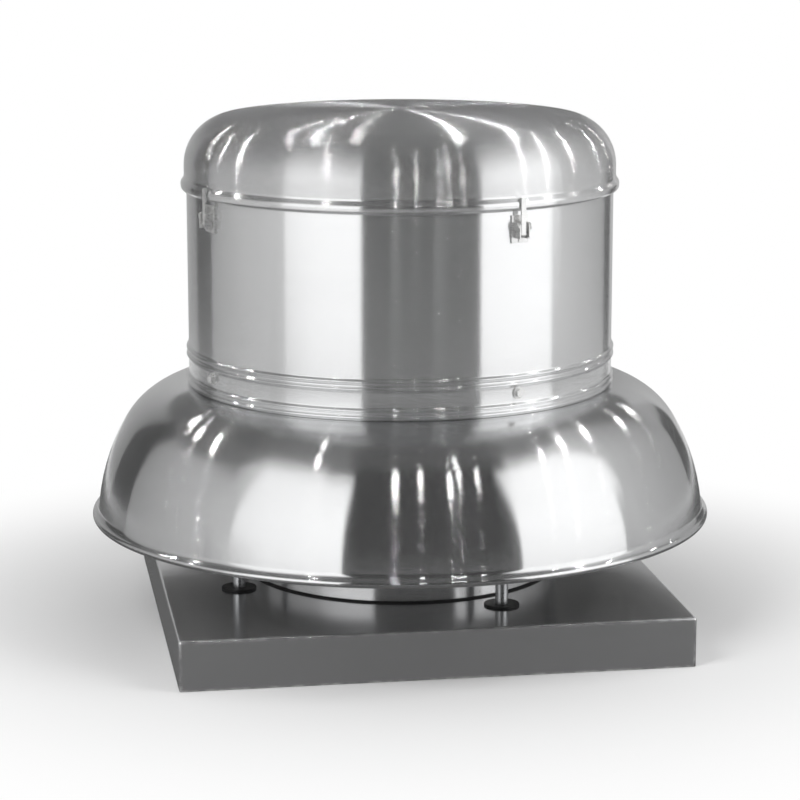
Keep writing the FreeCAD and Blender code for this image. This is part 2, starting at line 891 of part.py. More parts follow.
def make_bearing_rings():
    """The inner rings that turn with the shaft, each with its locking collar."""
    rings = []
    bore = shaft_radius + fixed_fit
    for level in bearing_levels:
        z = pan_top + level
        inner = ring(bore, bearing_ring_radius, z - bearing_ring_half, z + bearing_ring_half)
        high = z + bearing_ring_half + locking_collar
        collar = ring(bore, locking_collar_radius, z + bearing_ring_half, high)
        rings.append(inner.fuse(collar))
    return rings


def make_bearing_bolts():
    """Bolts that hold the pillow blocks to the web, with nuts on its far side."""
    bolts = []
    head_face = frame_face - bearing_foot
    nut_face = frame_face + frame_web
    for level in bearing_levels:
        for side in (-1, 1):
            y = side * bearing_bolt_half_spacing
            z = pan_top + level
            shank = rod_x(bearing_bolt_radius, head_face, nut_face + bearing_bolt_head + 1, y, z)
            head = hexagon(bearing_bolt_flats, bearing_bolt_head, Vector(head_face, y, z), -ALONG_X)
            nut = hexagon(bearing_bolt_flats, bearing_bolt_head, Vector(nut_face, y, z), ALONG_X)
            bolts.append(shank.fuse([head, nut]))
    return bolts


# Drive frame
def make_drive_frame():
    """An upright channel welded to a foot plate, drilled for bearings, studs and bolts."""
    foot_y = (-frame_foot_half_width, frame_foot_half_width)
    foot_high = pan_top + frame_foot
    web_high = foot_high + frame_web_height
    half = frame_web_half_width
    foot = block((-frame_foot_back, frame_foot_front), foot_y, (pan_top, foot_high))
    web = block((frame_face, frame_face + frame_web), (-half, half), (pan_top, web_high))
    back = frame_face - frame_flange
    low_flange = block((back, frame_face), (-half, -half + frame_web), (pan_top, web_high))
    high_flange = block((back, frame_face), (half - frame_web, half), (pan_top, web_high))
    frame = foot.fuse([web, low_flange, high_flange]).removeSplitter()
    cuts = [rod(shaft_opening, 0, foot_high + 1)]
    for x, y in frame_bolt_places():
        cuts.append(rod(frame_bolt_radius + drill_gap, 0, foot_high + 1, x, y))
    far = frame_face + 2 * frame_web
    for side in (-1, 1):
        for level in bearing_levels:
            y = side * bearing_bolt_half_spacing
            cuts.append(rod_x(bearing_bolt_radius + drill_gap, 0, far, y, pan_top + level))
        for level in tension_stud_levels:
            y = side * tension_stud_half_spacing
            cuts.append(rod_x(tension_stud_radius + drill_gap, 0, far, y, pan_top + level))
    return frame.cut(cuts)


def make_frame_bolts():
    """Bolts through the foot plate and the pan, with nuts below the pan."""
    bolts = []
    head_face = pan_top + frame_foot
    for x, y in frame_bolt_places():
        head = hexagon(frame_bolt_flats, frame_bolt_head, Vector(x, y, head_face), UP)
        nut = hexagon(frame_bolt_flats, frame_bolt_head, Vector(x, y, windband_top), -UP)
        shank = rod(frame_bolt_radius, windband_top - frame_bolt_head, head_face, x, y)
        bolts.append(shank.fuse([head, nut]))
    return bolts


# Motor plate and tension studs
plate_x = (frame_face + frame_web + plate_gap, frame_face + frame_web + plate_gap + plate_thickness)


def make_motor_plate():
    """The plate that carries the motor and stands off the web on four studs."""
    across = (-plate_half_width, plate_half_width)
    plate = block(plate_x, across, (pan_top + plate_levels[0], pan_top + plate_levels[1]))
    cuts = []
    for side in (-1, 1):
        for level in tension_stud_levels:
            y = side * tension_stud_half_spacing
            cuts.append(rod_x(tension_stud_radius + drill_gap, 0, motor_x, y, pan_top + level))
        for level in motor_bolt_levels:
            y = side * motor_bolt_half_spacing
            cuts.append(rod_x(motor_bolt_radius + drill_gap, 0, motor_x, y, pan_top + level))
    return plate.cut(cuts)


def stud_places():
    """The places of the tension studs, as (y, z)."""
    places = []
    for side in (-1, 1):
        for level in tension_stud_levels:
            places.append((side * tension_stud_half_spacing, pan_top + level))
    return places


def make_tension_studs():
    """Threaded studs along X through the web and the motor plate."""
    start = frame_face - tension_nut - tension_stud_end / 2
    end = plate_x[1] + tension_nut + tension_stud_end
    return [rod_x(tension_stud_radius, start, end, y, z) for y, z in stud_places()]


def make_tension_nuts():
    """Nuts on both faces of the web and on both faces of the motor plate."""
    nuts = []
    faces = ((frame_face, -1), (frame_face + frame_web, 1), (plate_x[0], -1), (plate_x[1], 1))
    for y, z in stud_places():
        for face, side in faces:
            nut = hexagon(tension_nut_flats, tension_nut, Vector(face, y, z), ALONG_X * side)
            nuts.append(nut.cut(rod_x(tension_stud_radius + fixed_fit, 0, motor_x, y, z)))
    return nuts


# Motor
def motor_rod(radius, low, high):
    """A cylinder about the motor's axis."""
    return rod(radius, pan_top + low, pan_top + high, motor_x, 0)


def make_motor_shell():
    """The motor's rolled shell."""
    low, high = motor_levels
    return motor_rod(motor_radius, low, high).cut(motor_rod(motor_bore, low - 1, high + 1))


def make_motor_bell(level, side):
    """An end bell, a cone with vents and a boss for the shaft; side is 1 for the upper one."""
    base = pan_top + level
    axis = Vector(0, 0, side)
    bell = Part.makeCone(motor_radius, motor_bell_end, motor_bell, Vector(motor_x, 0, base), axis)
    boss_base = Vector(motor_x, 0, base) + axis * motor_bell
    bell = bell.fuse(Part.makeCylinder(motor_boss_radius, motor_boss, boss_base, axis))
    start = Vector(motor_x, 0, base) - axis
    bore = motor_shaft_radius + running_fit
    cuts = [Part.makeCylinder(bore, 2 * (motor_bell + motor_boss), start, axis)]
    for step in range(motor_vent_count):
        angle = 2 * math.pi * step / motor_vent_count
        reach = motor_vent_circle
        place = Vector(motor_x + reach * math.cos(angle), reach * math.sin(angle), start.z)
        cuts.append(Part.makeCylinder(motor_vent_radius, 2 * motor_bell, place, axis))
    return bell.cut(cuts)


def make_motor_foot():
    """The foot plate and the saddle that the shell sits in."""
    low = pan_top + motor_foot_levels[0]
    high = pan_top + motor_foot_levels[1]
    plate_far = plate_x[1] + motor_foot_sheet
    plate = block((plate_x[1], plate_far), (-motor_foot_half_width, motor_foot_half_width), (low, high))
    half = motor_saddle_half_width
    saddle = block((plate_x[1], motor_x - motor_radius / 2), (-half, half), (low, high))
    foot = plate.fuse(saddle).cut(rod(motor_radius + fixed_fit, 0, band_top, motor_x, 0))
    cuts = []
    for y, z in motor_bolt_places():
        cuts.append(rod_x(motor_bolt_radius + drill_gap, 0, plate_far + 1, y, z))
    return foot.removeSplitter().cut(cuts)


def motor_bolt_places():
    """The places of the motor's foot bolts, as (y, z)."""
    places = []
    for side in (-1, 1):
        for level in motor_bolt_levels:
            places.append((side * motor_bolt_half_spacing, pan_top + level))
    return places


def make_motor_bolts():
    """Bolts through the motor plate and foot."""
    bolts = []
    far = plate_x[1] + motor_foot_sheet
    for y, z in motor_bolt_places():
        head = hexagon(motor_bolt_flats, motor_bolt_head, Vector(plate_x[0], y, z), -ALONG_X)
        nut = hexagon(motor_bolt_flats, motor_bolt_head, Vector(far, y, z), ALONG_X)
        bolts.append(rod_x(motor_bolt_radius, plate_x[0], far, y, z).fuse([head, nut]))
    return bolts


# Sheaves and belt
def belt_half_width(above_pitch):
    """Half the belt's width at a height above its pitch line."""
    slope = math.tan(math.radians(belt_slope))
    return belt_top / 2 - (belt_above_pitch - above_pitch) * slope


def make_sheave(pitch, bore, hub, x):
    """A grooved sheave on the belt's plane; its hub rises above the rim."""
    outer = pitch + belt_above_pitch + sheave_over_belt
    floor = pitch - belt_below_pitch - groove_extra
    widen = belt_gap / math.cos(math.radians(belt_slope))
    mouth = belt_half_width(outer - pitch) + widen
    bottom = belt_half_width(floor - pitch) + widen
    half = sheave_half_rim
    rim = floor - sheave_rim
    web = sheave_web / 2
    hub_edge = max(hub, bore + sheave_hub_wall)
    rim_inner = max(rim, hub_edge)
    outline = [
        (bore, -half),
        (hub_edge, -half),
        (hub_edge, -web),
        (rim_inner, -web),
        (rim_inner, -half),
        (outer, -half),
        (outer, -mouth),
        (floor, -bottom),
        (floor, bottom),
        (outer, mouth),
        (outer, half),
        (rim_inner, half),
        (rim_inner, web),
        (hub_edge, web),
        (hub_edge, sheave_hub_rise),
        (bore, sheave_hub_rise),
    ]
    cleaned = [outline[0]]
    for point in outline[1:]:
        if point != cleaned[-1]:
            cleaned.append(point)
    sheave = turned([(radius, belt_plane + level) for radius, level in cleaned])
    sheave.translate(Vector(x, 0, 0))
    return sheave


def make_driven_sheave():
    """The large sheave on the fan shaft, drilled for its set screw."""
    sheave = make_sheave(driven_pitch, shaft_radius + fixed_fit, driven_hub_radius, 0)
    return sheave.cut(rod_x(set_screw_radius + fixed_fit, 0, driven_hub_radius + 1, 0, sheave_screw_level))


def make_set_screws():
    """The set screws of the wheel's hub and of the driven sheave."""
    start = shaft_radius + fixed_fit
    return [
        rod_x(set_screw_radius, start, hub_radius, 0, hub_screw_level),
        rod_x(set_screw_radius, start, driven_hub_radius, 0, sheave_screw_level),
    ]


def belt_section(radius, angle, x):
    """The belt's section face at an angle round a sheave of that pitch radius."""
    corners = []
    for above, side in ((belt_above_pitch, -1), (belt_above_pitch, 1), (-belt_below_pitch, 1),
                        (-belt_below_pitch, -1)):
        reach = radius + above
        height = belt_plane + side * belt_half_width(above)
        corners.append(Vector(x + reach * math.cos(angle), reach * math.sin(angle), height))
    return Part.Face(Part.makePolygon(corners + corners[:1]))


def make_belt():
    """The belt: a wrap round each sheave and the two straight runs between them."""
    lean = math.acos((driven_pitch - driver_pitch) / motor_x)
    run = math.sqrt(motor_x ** 2 - (driven_pitch - driver_pitch) ** 2)
    driven_wrap = 360 - 2 * math.degrees(lean)
    large = belt_section(driven_pitch, lean, 0).revolve(ORIGIN, UP, driven_wrap)
    centre = Vector(motor_x, 0, 0)
    small = belt_section(driver_pitch, -lean, motor_x).revolve(centre, UP, 2 * math.degrees(lean))
    runs = []
    for side in (-1, 1):
        along = Vector(math.sin(lean), -side * math.cos(lean), 0) * run
        runs.append(belt_section(driven_pitch, side * lean, 0).extrude(along))
    return large.fuse([small] + runs).removeSplitter()


# Wiring chase and disconnect switch
chase_place = round_point(post_circle, chase_azimuth)
switch_back = chase_place.y + switch_behind_chase
switch_front = switch_back - switch_depth
switch_high = pan_top + switch_height
switch_middle = pan_top + switch_height / 2
toggle_y = switch_front + toggle_set_back
conduit_start = Vector(0, (switch_back + switch_front) / 2, switch_high + fitting_height)
conduit_end = Vector(motor_x, terminal_y, pan_top + terminal_level + terminal_height + fitting_height)


def make_chase():
    """The tube that brings the wires up from the curb."""
    low = curb_floor - chase_drop
    high = pan_top + chase_rise
    return ring(chase_radius - chase_wall, chase_radius, low, high, chase_place.x, chase_place.y)


def make_locknuts():
    """Locknuts on the chase under and over the curb cap, and inside the switch box."""
    nuts = []
    for low in (curb_floor - locknut, curb_height, pan_top + switch_wall):
        base = Vector(chase_place.x, chase_place.y, low)
        nut = hexagon(locknut_flats, locknut, base, UP)
        nuts.append(nut.cut(rod(chase_radius + fixed_fit, 0, band_top, base.x, base.y)))
    return nuts


def make_switch_box():
    """The box of the disconnect switch, open to the front."""
    half = switch_half_width
    box = block((-half, half), (switch_front, switch_back), (pan_top, switch_high))
    wall = switch_wall
    inside = block((wall - half, half - wall), (switch_front - 1, switch_back - wall),
                   (pan_top + wall, switch_high - wall))
    low = switch_high - 2 * wall
    top_hole = rod(conduit_radius + drill_gap, low, switch_high + 1, conduit_start.x, conduit_start.y)
    return box.cut([inside, chase_hole(pan_top - 1, pan_top + 2 * wall), top_hole])


def make_switch_cover():
    """The switch's cover with its slot, and the two ears behind it that carry the toggle."""
    half = switch_half_width
    cover = block((-half, half), (switch_front - switch_wall, switch_front), (pan_top, switch_high))
    slot = block((-switch_slot_half_width, switch_slot_half_width), (0, switch_front + 1),
                 (switch_middle - switch_slot_half_height, switch_middle + switch_slot_half_height))
    cover = cover.cut(slot)
    half_height = switch_ear_half_height
    deep = (switch_front, toggle_y + half_height)
    upright = (switch_middle - half_height, switch_middle + half_height)
    ears = []
    for side in (-1, 1):
        inner = side * (toggle_half_length + seat_gap)
        across = sorted((inner, inner + side * switch_ear))
        ears.append(block(across, deep, upright))
    cover = cover.fuse(ears)
    return cover.cut(rod_x(toggle_trunnion + running_fit, -half, half, toggle_y, switch_middle))


def make_toggle():
    """The toggle: a barrel on trunnions and a bat that tilts up at rest."""
    half = toggle_half_length
    barrel = rod_x(toggle_barrel, -half, half, toggle_y, switch_middle)
    end = half + seat_gap + switch_ear
    trunnions = rod_x(toggle_trunnion, -end, end, toggle_y, switch_middle)
    tilt = math.radians(toggle_tilt)
    along = Vector(0, -math.cos(tilt), math.sin(tilt))
    bat = Part.makeCone(toggle_neck_radius, toggle_radius, toggle_reach,
                        Vector(0, toggle_y, switch_middle), along)
    return barrel.fuse([trunnions, bat]).removeSplitter()


# Conduit to the motor
def make_conduit():
    """The flexible conduit: up from the switch box, over, and down to the terminal box."""
    flat = Vector(conduit_end.x - conduit_start.x, conduit_end.y - conduit_start.y, 0)
    along = flat * (1 / flat.Length)
    bend = conduit_bend
    top = conduit_start.z + conduit_rise + bend
    first = Vector(conduit_start.x, conduit_start.y, top - bend)
    last = Vector(conduit_end.x, conduit_end.y, top - bend)
    corner = bend * (1 - math.sqrt(0.5))
    first_middle = first + along * corner + UP * (bend * math.sqrt(0.5))
    last_middle = last - along * corner + UP * (bend * math.sqrt(0.5))
    over_start = first + along * bend + UP * bend
    over_end = last - along * bend + UP * bend
    start = conduit_start - UP * fitting_height
    end = conduit_end - UP * fitting_height
    path = Part.Wire([
        Part.makeLine(start, first),
        Part.Arc(first, first_middle, over_start).toShape(),
        Part.makeLine(over_start, over_end),
        Part.Arc(over_end, last_middle, last).toShape(),
        Part.makeLine(last, end),
    ])
    profile = Part.Wire(Part.makeCircle(conduit_radius, start, UP))
    conduit = path.makePipeShell([profile], True, False)
    ratio = conduit.Volume / (path.Length * math.pi * conduit_radius ** 2)
    print("conduit: length %.0f, bends %.0f, volume ratio %.4f" % (path.Length, bend, ratio))
    return conduit


def make_fittings():
    """A fitting at each end of the conduit."""
    fittings = []
    for end in (conduit_start, conduit_end):
        base = end - UP * fitting_height
        body = hexagon(fitting_flats, fitting_height, base, UP)
        fittings.append(body.cut(rod(conduit_radius + fixed_fit, 0, band_top, end.x, end.y)))
    return fittings


def make_terminal_box():
    """The wiring box on the motor's side, hollowed to sit on the shell."""
    low = pan_top + terminal_level
    across = (motor_radius - terminal_sink, motor_radius + terminal_depth)
    box = block((motor_x - terminal_half_length, motor_x + terminal_half_length), across,
                (low, low + terminal_height))
    return box.cut(rod(motor_radius + fixed_fit, 0, band_top, motor_x, 0))


def build():
    """Makes every piece and writes it."""
    os.makedirs("parts", exist_ok=True)
    motor_shaft_end = sheave_level + sheave_hub_rise
    motor_bore_fit = motor_shaft_radius + fixed_fit
    nodes = {
        "curb_cap": [make_curb_cap()],
        "inlet_venturi": [trace_venturi().solid()],
        "venturi_seal": [make_venturi_seal()],
        "post_isolators": make_isolators(),
        "post_nuts": make_post_nuts(),
        "windband": [make_windband()],
        "motor_pan": [make_motor_pan()],
        "motor_band": [make_motor_band()],
        "collar_screws": make_collar_screws(),
        "drive_frame": [make_drive_frame()],
        "frame_bolts": make_frame_bolts(),
        "lower_bearing": [make_bearing(bearing_levels[0])],
        "upper_bearing": [make_bearing(bearing_levels[1])],
        "bearing_bolts": make_bearing_bolts(),
        "motor_plate": [make_motor_plate()],
        "tension_studs": make_tension_studs(),
        "tension_nuts": make_tension_nuts(),
        "motor_foot": [make_motor_foot()],
        "motor_bolts": make_motor_bolts(),
        "motor_shell": [make_motor_shell()],
        "motor_lower_bell": [make_motor_bell(motor_levels[0], -1)],
        "motor_upper_bell": [make_motor_bell(motor_levels[1], 1)],
        "terminal_box": [make_terminal_box()],
        "drive_belt": [make_belt()],
        "wiring_chase": [make_chase()],
        "chase_locknuts": make_locknuts(),
        "switch_box": [make_switch_box()],
        "switch_cover": [make_switch_cover()],
        "motor_conduit": [make_conduit()],
        "conduit_fittings": make_fittings(),
        "latch_rivets": make_latch_rivets(),
        "top_cap": [make_top_cap()],
        "wheel_shroud": [trace_wheel_shroud().solid()],
        "wheel_blades": make_wheel_blades(),
        "wheel_back_plate": [make_wheel_back()],
        "wheel_hub": [make_wheel_hub()],
        "hub_bolts": make_hub_bolts(),
        "fan_shaft": [rod(shaft_radius, hub_low, pan_top + shaft_rise)],
        "bearing_inner_rings": make_bearing_rings(),
        "driven_sheave": [make_driven_sheave()],
        "set_screws": make_set_screws(),
        "motor_shaft": [motor_rod(motor_shaft_radius, motor_levels[0] - motor_bell, motor_shaft_end)],
        "motor_sheave": [make_sheave(driver_pitch, motor_bore_fit, driver_hub_radius, motor_x)],
        "switch_toggle": [make_toggle()],
    }
    for number, azimuth in enumerate(corner_azimuths, 1):
        nodes["support_post_%d" % number] = [make_post(azimuth)]
        nodes["latch_base_%d" % number] = [make_latch_base(azimuth)]
        nodes["latch_lever_%d" % number] = [make_latch_lever(azimuth)]
        nodes["latch_hook_%d" % number] = [make_latch_hook(azimuth)]
    for node, solids in nodes.items():
        save(node, solids)
    top = nodes["top_cap"][0].BoundBox.ZMax
    print("%d nodes, top at %.1f, rim at %.1f" % (len(nodes), top, cap_rim))


build()
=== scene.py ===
# %% [markdown]
# # A downblast roof exhaust fan, dressed for its portrait
#
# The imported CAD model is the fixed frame: it says where every part sits and what moves with what.
# This notebook dresses it. The big shells are spun aluminium, a sheet pressed over a turning
# form, so they are made here as smooth lathe meshes with the fine rings that the tool leaves.
# The small hardware keeps its CAD shape and gets a finish made of shader nodes.

# %% Load the frame
import bpy
import bmesh
import math
from mathutils import Matrix, Vector


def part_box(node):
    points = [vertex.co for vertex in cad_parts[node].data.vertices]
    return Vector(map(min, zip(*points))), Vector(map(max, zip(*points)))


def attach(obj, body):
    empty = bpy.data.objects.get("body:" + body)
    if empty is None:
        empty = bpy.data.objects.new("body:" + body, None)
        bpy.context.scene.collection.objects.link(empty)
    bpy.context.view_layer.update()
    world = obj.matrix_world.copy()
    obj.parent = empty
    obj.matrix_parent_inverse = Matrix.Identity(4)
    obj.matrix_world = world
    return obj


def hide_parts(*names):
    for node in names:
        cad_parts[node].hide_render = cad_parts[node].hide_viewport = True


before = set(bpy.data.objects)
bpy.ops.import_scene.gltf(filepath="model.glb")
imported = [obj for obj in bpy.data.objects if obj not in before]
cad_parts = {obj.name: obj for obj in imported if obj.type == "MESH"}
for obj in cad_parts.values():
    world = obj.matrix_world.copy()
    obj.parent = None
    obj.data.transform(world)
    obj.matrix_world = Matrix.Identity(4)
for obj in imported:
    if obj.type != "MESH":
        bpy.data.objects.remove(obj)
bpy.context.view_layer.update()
scene = bpy.context.scene

# %% [markdown]
# ## Camera
#
# The portrait was taken with a long lens from a little above the fan, turned slightly to its
# left. The values below were fitted to the outline of the real fan: the azimuth is counted from
# the front towards +X, and the shift slides the frame by a few pixels, as a cropped picture does.

# %% Camera
camera_azimuth = math.radians(-9.35)
camera_height_angle = math.radians(11.59)
camera_distance = 3.0913
aim_right = 0.0131
aim_height = 0.24405
camera_lens = 121.22
camera_shift = (-0.0144, 0.0036)

back = Vector((
    math.sin(camera_azimuth) * math.cos(camera_height_angle),
    -math.cos(camera_azimuth) * math.cos(camera_height_angle),
    math.sin(camera_height_angle),
))
right = Vector((math.cos(camera_azimuth), math.sin(camera_azimuth), 0))
upward = back.cross(right)
eye = right * aim_right + Vector((0, 0, aim_height)) + back * camera_distance
facing = Matrix((right, upward, back)).transposed().to_4x4()

camera_data = bpy.data.cameras.new("portrait_camera")
camera_data.lens = camera_lens
camera_data.sensor_width = 36
camera_data.shift_x, camera_data.shift_y = camera_shift
camera_data.clip_end = 100
camera = bpy.data.objects.new("portrait_camera", camera_data)
camera.matrix_world = Matrix.Translation(eye) @ facing
scene.collection.objects.link(camera)
scene.camera = camera
scene.view_settings.view_transform = "Standard"
print("camera at", [round(value, 3) for value in eye])

# %% [markdown]
# ## Tools for spun sheet
#
# A spun part is a sheet that follows a line of straights and bends while it turns about Z. The
# line could be drawn by eye as a curve, but a tracer that goes forward and turns, as a bending
# plan does, gives the true radii and keeps the two faces of the sheet parallel. The ring of
# points is then turned into faces with bmesh, and edges sharper than a set angle stay crisp.

# %% Trace a sheet's outline
bend_chord = 4.0


def trace(start, heading, steps):
    """Places (radius, height, heading) along a face; a step is (length,) or (radius, angle)."""
    radius, height = start
    turn = math.radians(heading)
    places = [(radius, height, turn)]
    for step in steps:
        if len(step) == 1:
            radius += step[0] * math.cos(turn)
            height += step[0] * math.sin(turn)
            places.append((radius, height, turn))
            continue
        bend, angle = step
        side = 1 if angle > 0 else -1
        centre = (radius - math.sin(turn) * side * bend, height + math.cos(turn) * side * bend)
        count = max(3, math.ceil(abs(angle) / bend_chord))
        for k in range(1, count + 1):
            now = turn + math.radians(angle) * k / count
            radius = centre[0] + math.sin(now) * side * bend
            height = centre[1] - math.cos(now) * side * bend
            places.append((radius, height, now))
        turn = places[-1][2]
    return places


def sheet_loop(places, thickness):
    """The closed outline of a sheet: its traced face and, parallel to it, its other face."""
    face = [(radius, height) for radius, height, _ in places]
    other = [(max(0.0, radius - math.sin(turn) * thickness), height + math.cos(turn) * thickness)
             for radius, height, turn in places]
    return face + other[::-1]


def soften(points, reach, steps=5, most=0.48):
    """Rounds an open line's inner corners; a curve takes at most a set share of either side."""
    result = [points[0]]
    for before, corner, after in zip(points, points[1:], points[2:]):
        corner = Vector(corner)
        to_before = Vector(before) - corner
        to_after = Vector(after) - corner
        cut = min(reach, to_before.length * most, to_after.length * most)
        first = corner + to_before.normalized() * cut
        last = corner + to_after.normalized() * cut
        for k in range(steps + 1):
            t = k / steps
            spot = first * (1 - t) ** 2 + corner * 2 * t * (1 - t) + last * t ** 2
            result.append((spot.x, spot.y))
    result.append(points[-1])
    return result


print("a 90 degree bend gets", len(trace((0, 0), 0, [(0.01, 90)])) - 1, "facets")

# %% Turn an outline into a mesh
around = 288
shell_around = 360
crisp_angle = math.radians(32)
hair = 1e-6


def finish_mesh(name, work, crisp=crisp_angle):
    """Puts bmesh work into an object with outward faces, smooth but for its crisp edges."""
    bmesh.ops.recalc_face_normals(work, faces=work.faces)
    mesh = bpy.data.meshes.new(name)
    work.to_mesh(mesh)
    work.free()
    mesh.polygons.foreach_set("use_smooth", [True] * len(mesh.polygons))
    mesh.set_sharp_from_angle(angle=crisp)
    piece = bpy.data.objects.new(name, mesh)
    scene.collection.objects.link(piece)
    return piece


def spin(name, outline, segments=around):
    """Turns a closed outline of (radius, height) points about Z."""
    work = bmesh.new()
    rings = []
    for radius, height in outline:
        if radius < hair:
            rings.append([work.verts.new((0, 0, height))])
            continue
        ring = []
        for k in range(segments):
            angle = math.tau * k / segments
            ring.append(work.verts.new((radius * math.cos(angle), radius * math.sin(angle), height)))
        rings.append(ring)
    for first, second in zip(rings, rings[1:] + rings[:1]):
        if len(first) == 1 and len(second) == 1:
            continue
        for k in range(segments):
            onward = (k + 1) % segments
            corners = [first[k % len(first)], first[onward % len(first)],
                       second[onward % len(second)], second[k % len(second)]]
            work.faces.new(list(dict.fromkeys(corners)))
    return finish_mesh(name, work)


print("big shells get", shell_around, "steps round, the others", around)

# %% [markdown]
# ## Shader effects that several finishes share
#
# The same few things happen to many of these parts: the spinning tool leaves rings, rolled sheet
# has a brushed grain, corners are rubbed bright, dust settles on what faces up. Each effect is a
# node group with named sockets, built once, and every material sets its own strengths. Groups
# give out only masks, tones and heights; the shader stays in the material.

# %% Small helpers for nodes
def put(tree, kind, inputs=None, **settings):
    """Adds a node; an input is a value or another node's output socket."""
    node = tree.nodes.new(kind)
    for key, value in settings.items():
        setattr(node, key, value)
    for key, value in (inputs or {}).items():
        if isinstance(value, bpy.types.NodeSocket):
            tree.links.new(value, node.inputs[key])
        else:
            node.inputs[key].default_value = value
    return node


def maths(tree, operation, *values, clamp=False):
    """A Math node's result."""
    node = put(tree, "ShaderNodeMath", dict(enumerate(values)), operation=operation, use_clamp=clamp)
    return node.outputs[0]


def spread(tree, value, low, high, new_low=0.0, new_high=1.0):
    """Maps a value from one range to another, held at the ends; the ends may be sockets too."""
    node = put(tree, "ShaderNodeMapRange", {
        "Value": value, "From Min": low, "From Max": high, "To Min": new_low, "To Max": new_high,
    })
    return node.outputs["Result"]


def vector_maths(tree, operation, *values):
    """A Vector Math node's result: a number for LENGTH and DOT_PRODUCT, else a vector."""
    node = put(tree, "ShaderNodeVectorMath", dict(enumerate(values)), operation=operation)
    return node.outputs["Value" if operation in ("LENGTH", "DOT_PRODUCT") else "Vector"]


def object_place(tree):
    """The point that is shaded, in the object's own space."""
    return put(tree, "ShaderNodeTexCoord").outputs["Object"]


def noise(tree, place, scale, detail):
    """A noise texture's value."""
    return put(tree, "ShaderNodeTexNoise", {"Vector": place, "Scale": scale, "Detail": detail}).outputs[0]


def axis_places(tree):
    """The shaded point's coordinates, its part square to Z, and its distance from Z."""
    axes = put(tree, "ShaderNodeSeparateXYZ", {0: object_place(tree)}).outputs
    flat = put(tree, "ShaderNodeCombineXYZ", {"X": axes["X"], "Y": axes["Y"]}).outputs[0]
    return axes, flat, vector_maths(tree, "LENGTH", flat)


print("node helpers ready")


# %% Make, place and wire an effect
def effect(name, inputs, outputs, normals=()):
    """An empty node group with its named sockets, and its two end nodes."""
    group = bpy.data.node_groups.new(name, "ShaderNodeTree")
    for label, value in inputs.items():
        socket = group.interface.new_socket(label, in_out="INPUT", socket_type="NodeSocketFloat")
        socket.default_value = value
    for label in outputs:
        group.interface.new_socket(label, in_out="OUTPUT", socket_type="NodeSocketFloat")
    for label in normals:
        group.interface.new_socket(label, in_out="OUTPUT", socket_type="NodeSocketVector")
    return group, group.nodes.new("NodeGroupInput"), group.nodes.new("NodeGroupOutput")


def use(tree, group, **values):
    """Places an effect in a material with its own values."""
    node = tree.nodes.new("ShaderNodeGroup")
    node.node_tree = group
    for label, value in values.items():
        socket = node.inputs[label.replace("_", " ")]
        if isinstance(value, bpy.types.NodeSocket):
            tree.links.new(value, socket)
        else:
            socket.default_value = value
    return node.outputs


def feed(tree, node, **results):
    """Links results to a node's inputs; an underscore stands for a space."""
    for label, result in results.items():
        tree.links.new(result, node.inputs[label.replace("_", " ")])


print("effect helpers ready")

# %% [markdown]
# ### Turning marks
#
# A spinning tool goes round and round while it creeps along the form, so its marks are rings. A
# ring is all the points with one radius and one height, which is why the noise is read at the
# distance from the axis and the height, and hardly at all by the way round. The way round enters
# as its sine and cosine, so there is no seam where the circle closes.

# %% Turning marks
turning_marks, start, end = effect(
    "turning_marks",
    {"Rings per metre": 400.0, "Broad bands per metre": 30.0, "Sway": 0.6},
    ["Fine", "Broad", "Height"],
)
tree = turning_marks
axes, flat, distance = axis_places(tree)
way_axes = put(tree, "ShaderNodeSeparateXYZ", {0: vector_maths(tree, "NORMALIZE", flat)}).outputs


def ring_noise(density, sway, detail):
    """Noise that is nearly constant round each ring."""
    spot = put(tree, "ShaderNodeCombineXYZ", {
        "X": maths(tree, "MULTIPLY", distance, density),
        "Y": maths(tree, "MULTIPLY", axes["Z"], density),
        "Z": maths(tree, "MULTIPLY", way_axes["X"], sway),
    }).outputs[0]
    node = put(tree, "ShaderNodeTexNoise", {
        "Vector": spot, "W": maths(tree, "MULTIPLY", way_axes["Y"], sway),
        "Scale": 1.0, "Detail": detail, "Roughness": 0.6,
    }, noise_dimensions="4D")
    return node.outputs[0]


fine = ring_noise(start.outputs["Rings per metre"], start.outputs["Sway"], 3.0)
broad = ring_noise(start.outputs["Broad bands per metre"], start.outputs["Sway"], 2.0)
height = maths(tree, "MULTIPLY_ADD", broad, 2.5, fine)
feed(tree, end, Fine=spread(tree, fine, 0.3, 0.7), Broad=spread(tree, broad, 0.3, 0.7), Height=height)
print("turning marks:", [item.name for item in turning_marks.interface.items_tree])

# %% [markdown]
# ### Leaning and torn rings
#
# Under the marks that can be seen there are thousands of finer rings, each leaning a little
# forward or back. Together they smear a reflection along the profile and leave it sharp across,
# so a lamp becomes a long thin line. A bump map can't show rings finer than a pixel, so the group
# leans the normal itself, by a noise read along the profile. The noise also changes quickly round
# the part: with whole rings a row of pixels would meet the same few, and show false lines. Most
# spots lean very little and about one in six strays further, which gives the lines their long
# ends. Some are torn and matt: they make the metal hazy.

# %% Leaning and torn rings
slant_share = 0.73
torn_scale = 0.61
stray_scale = 0.37
stray_above = 0.62
widest_turn = 1.35

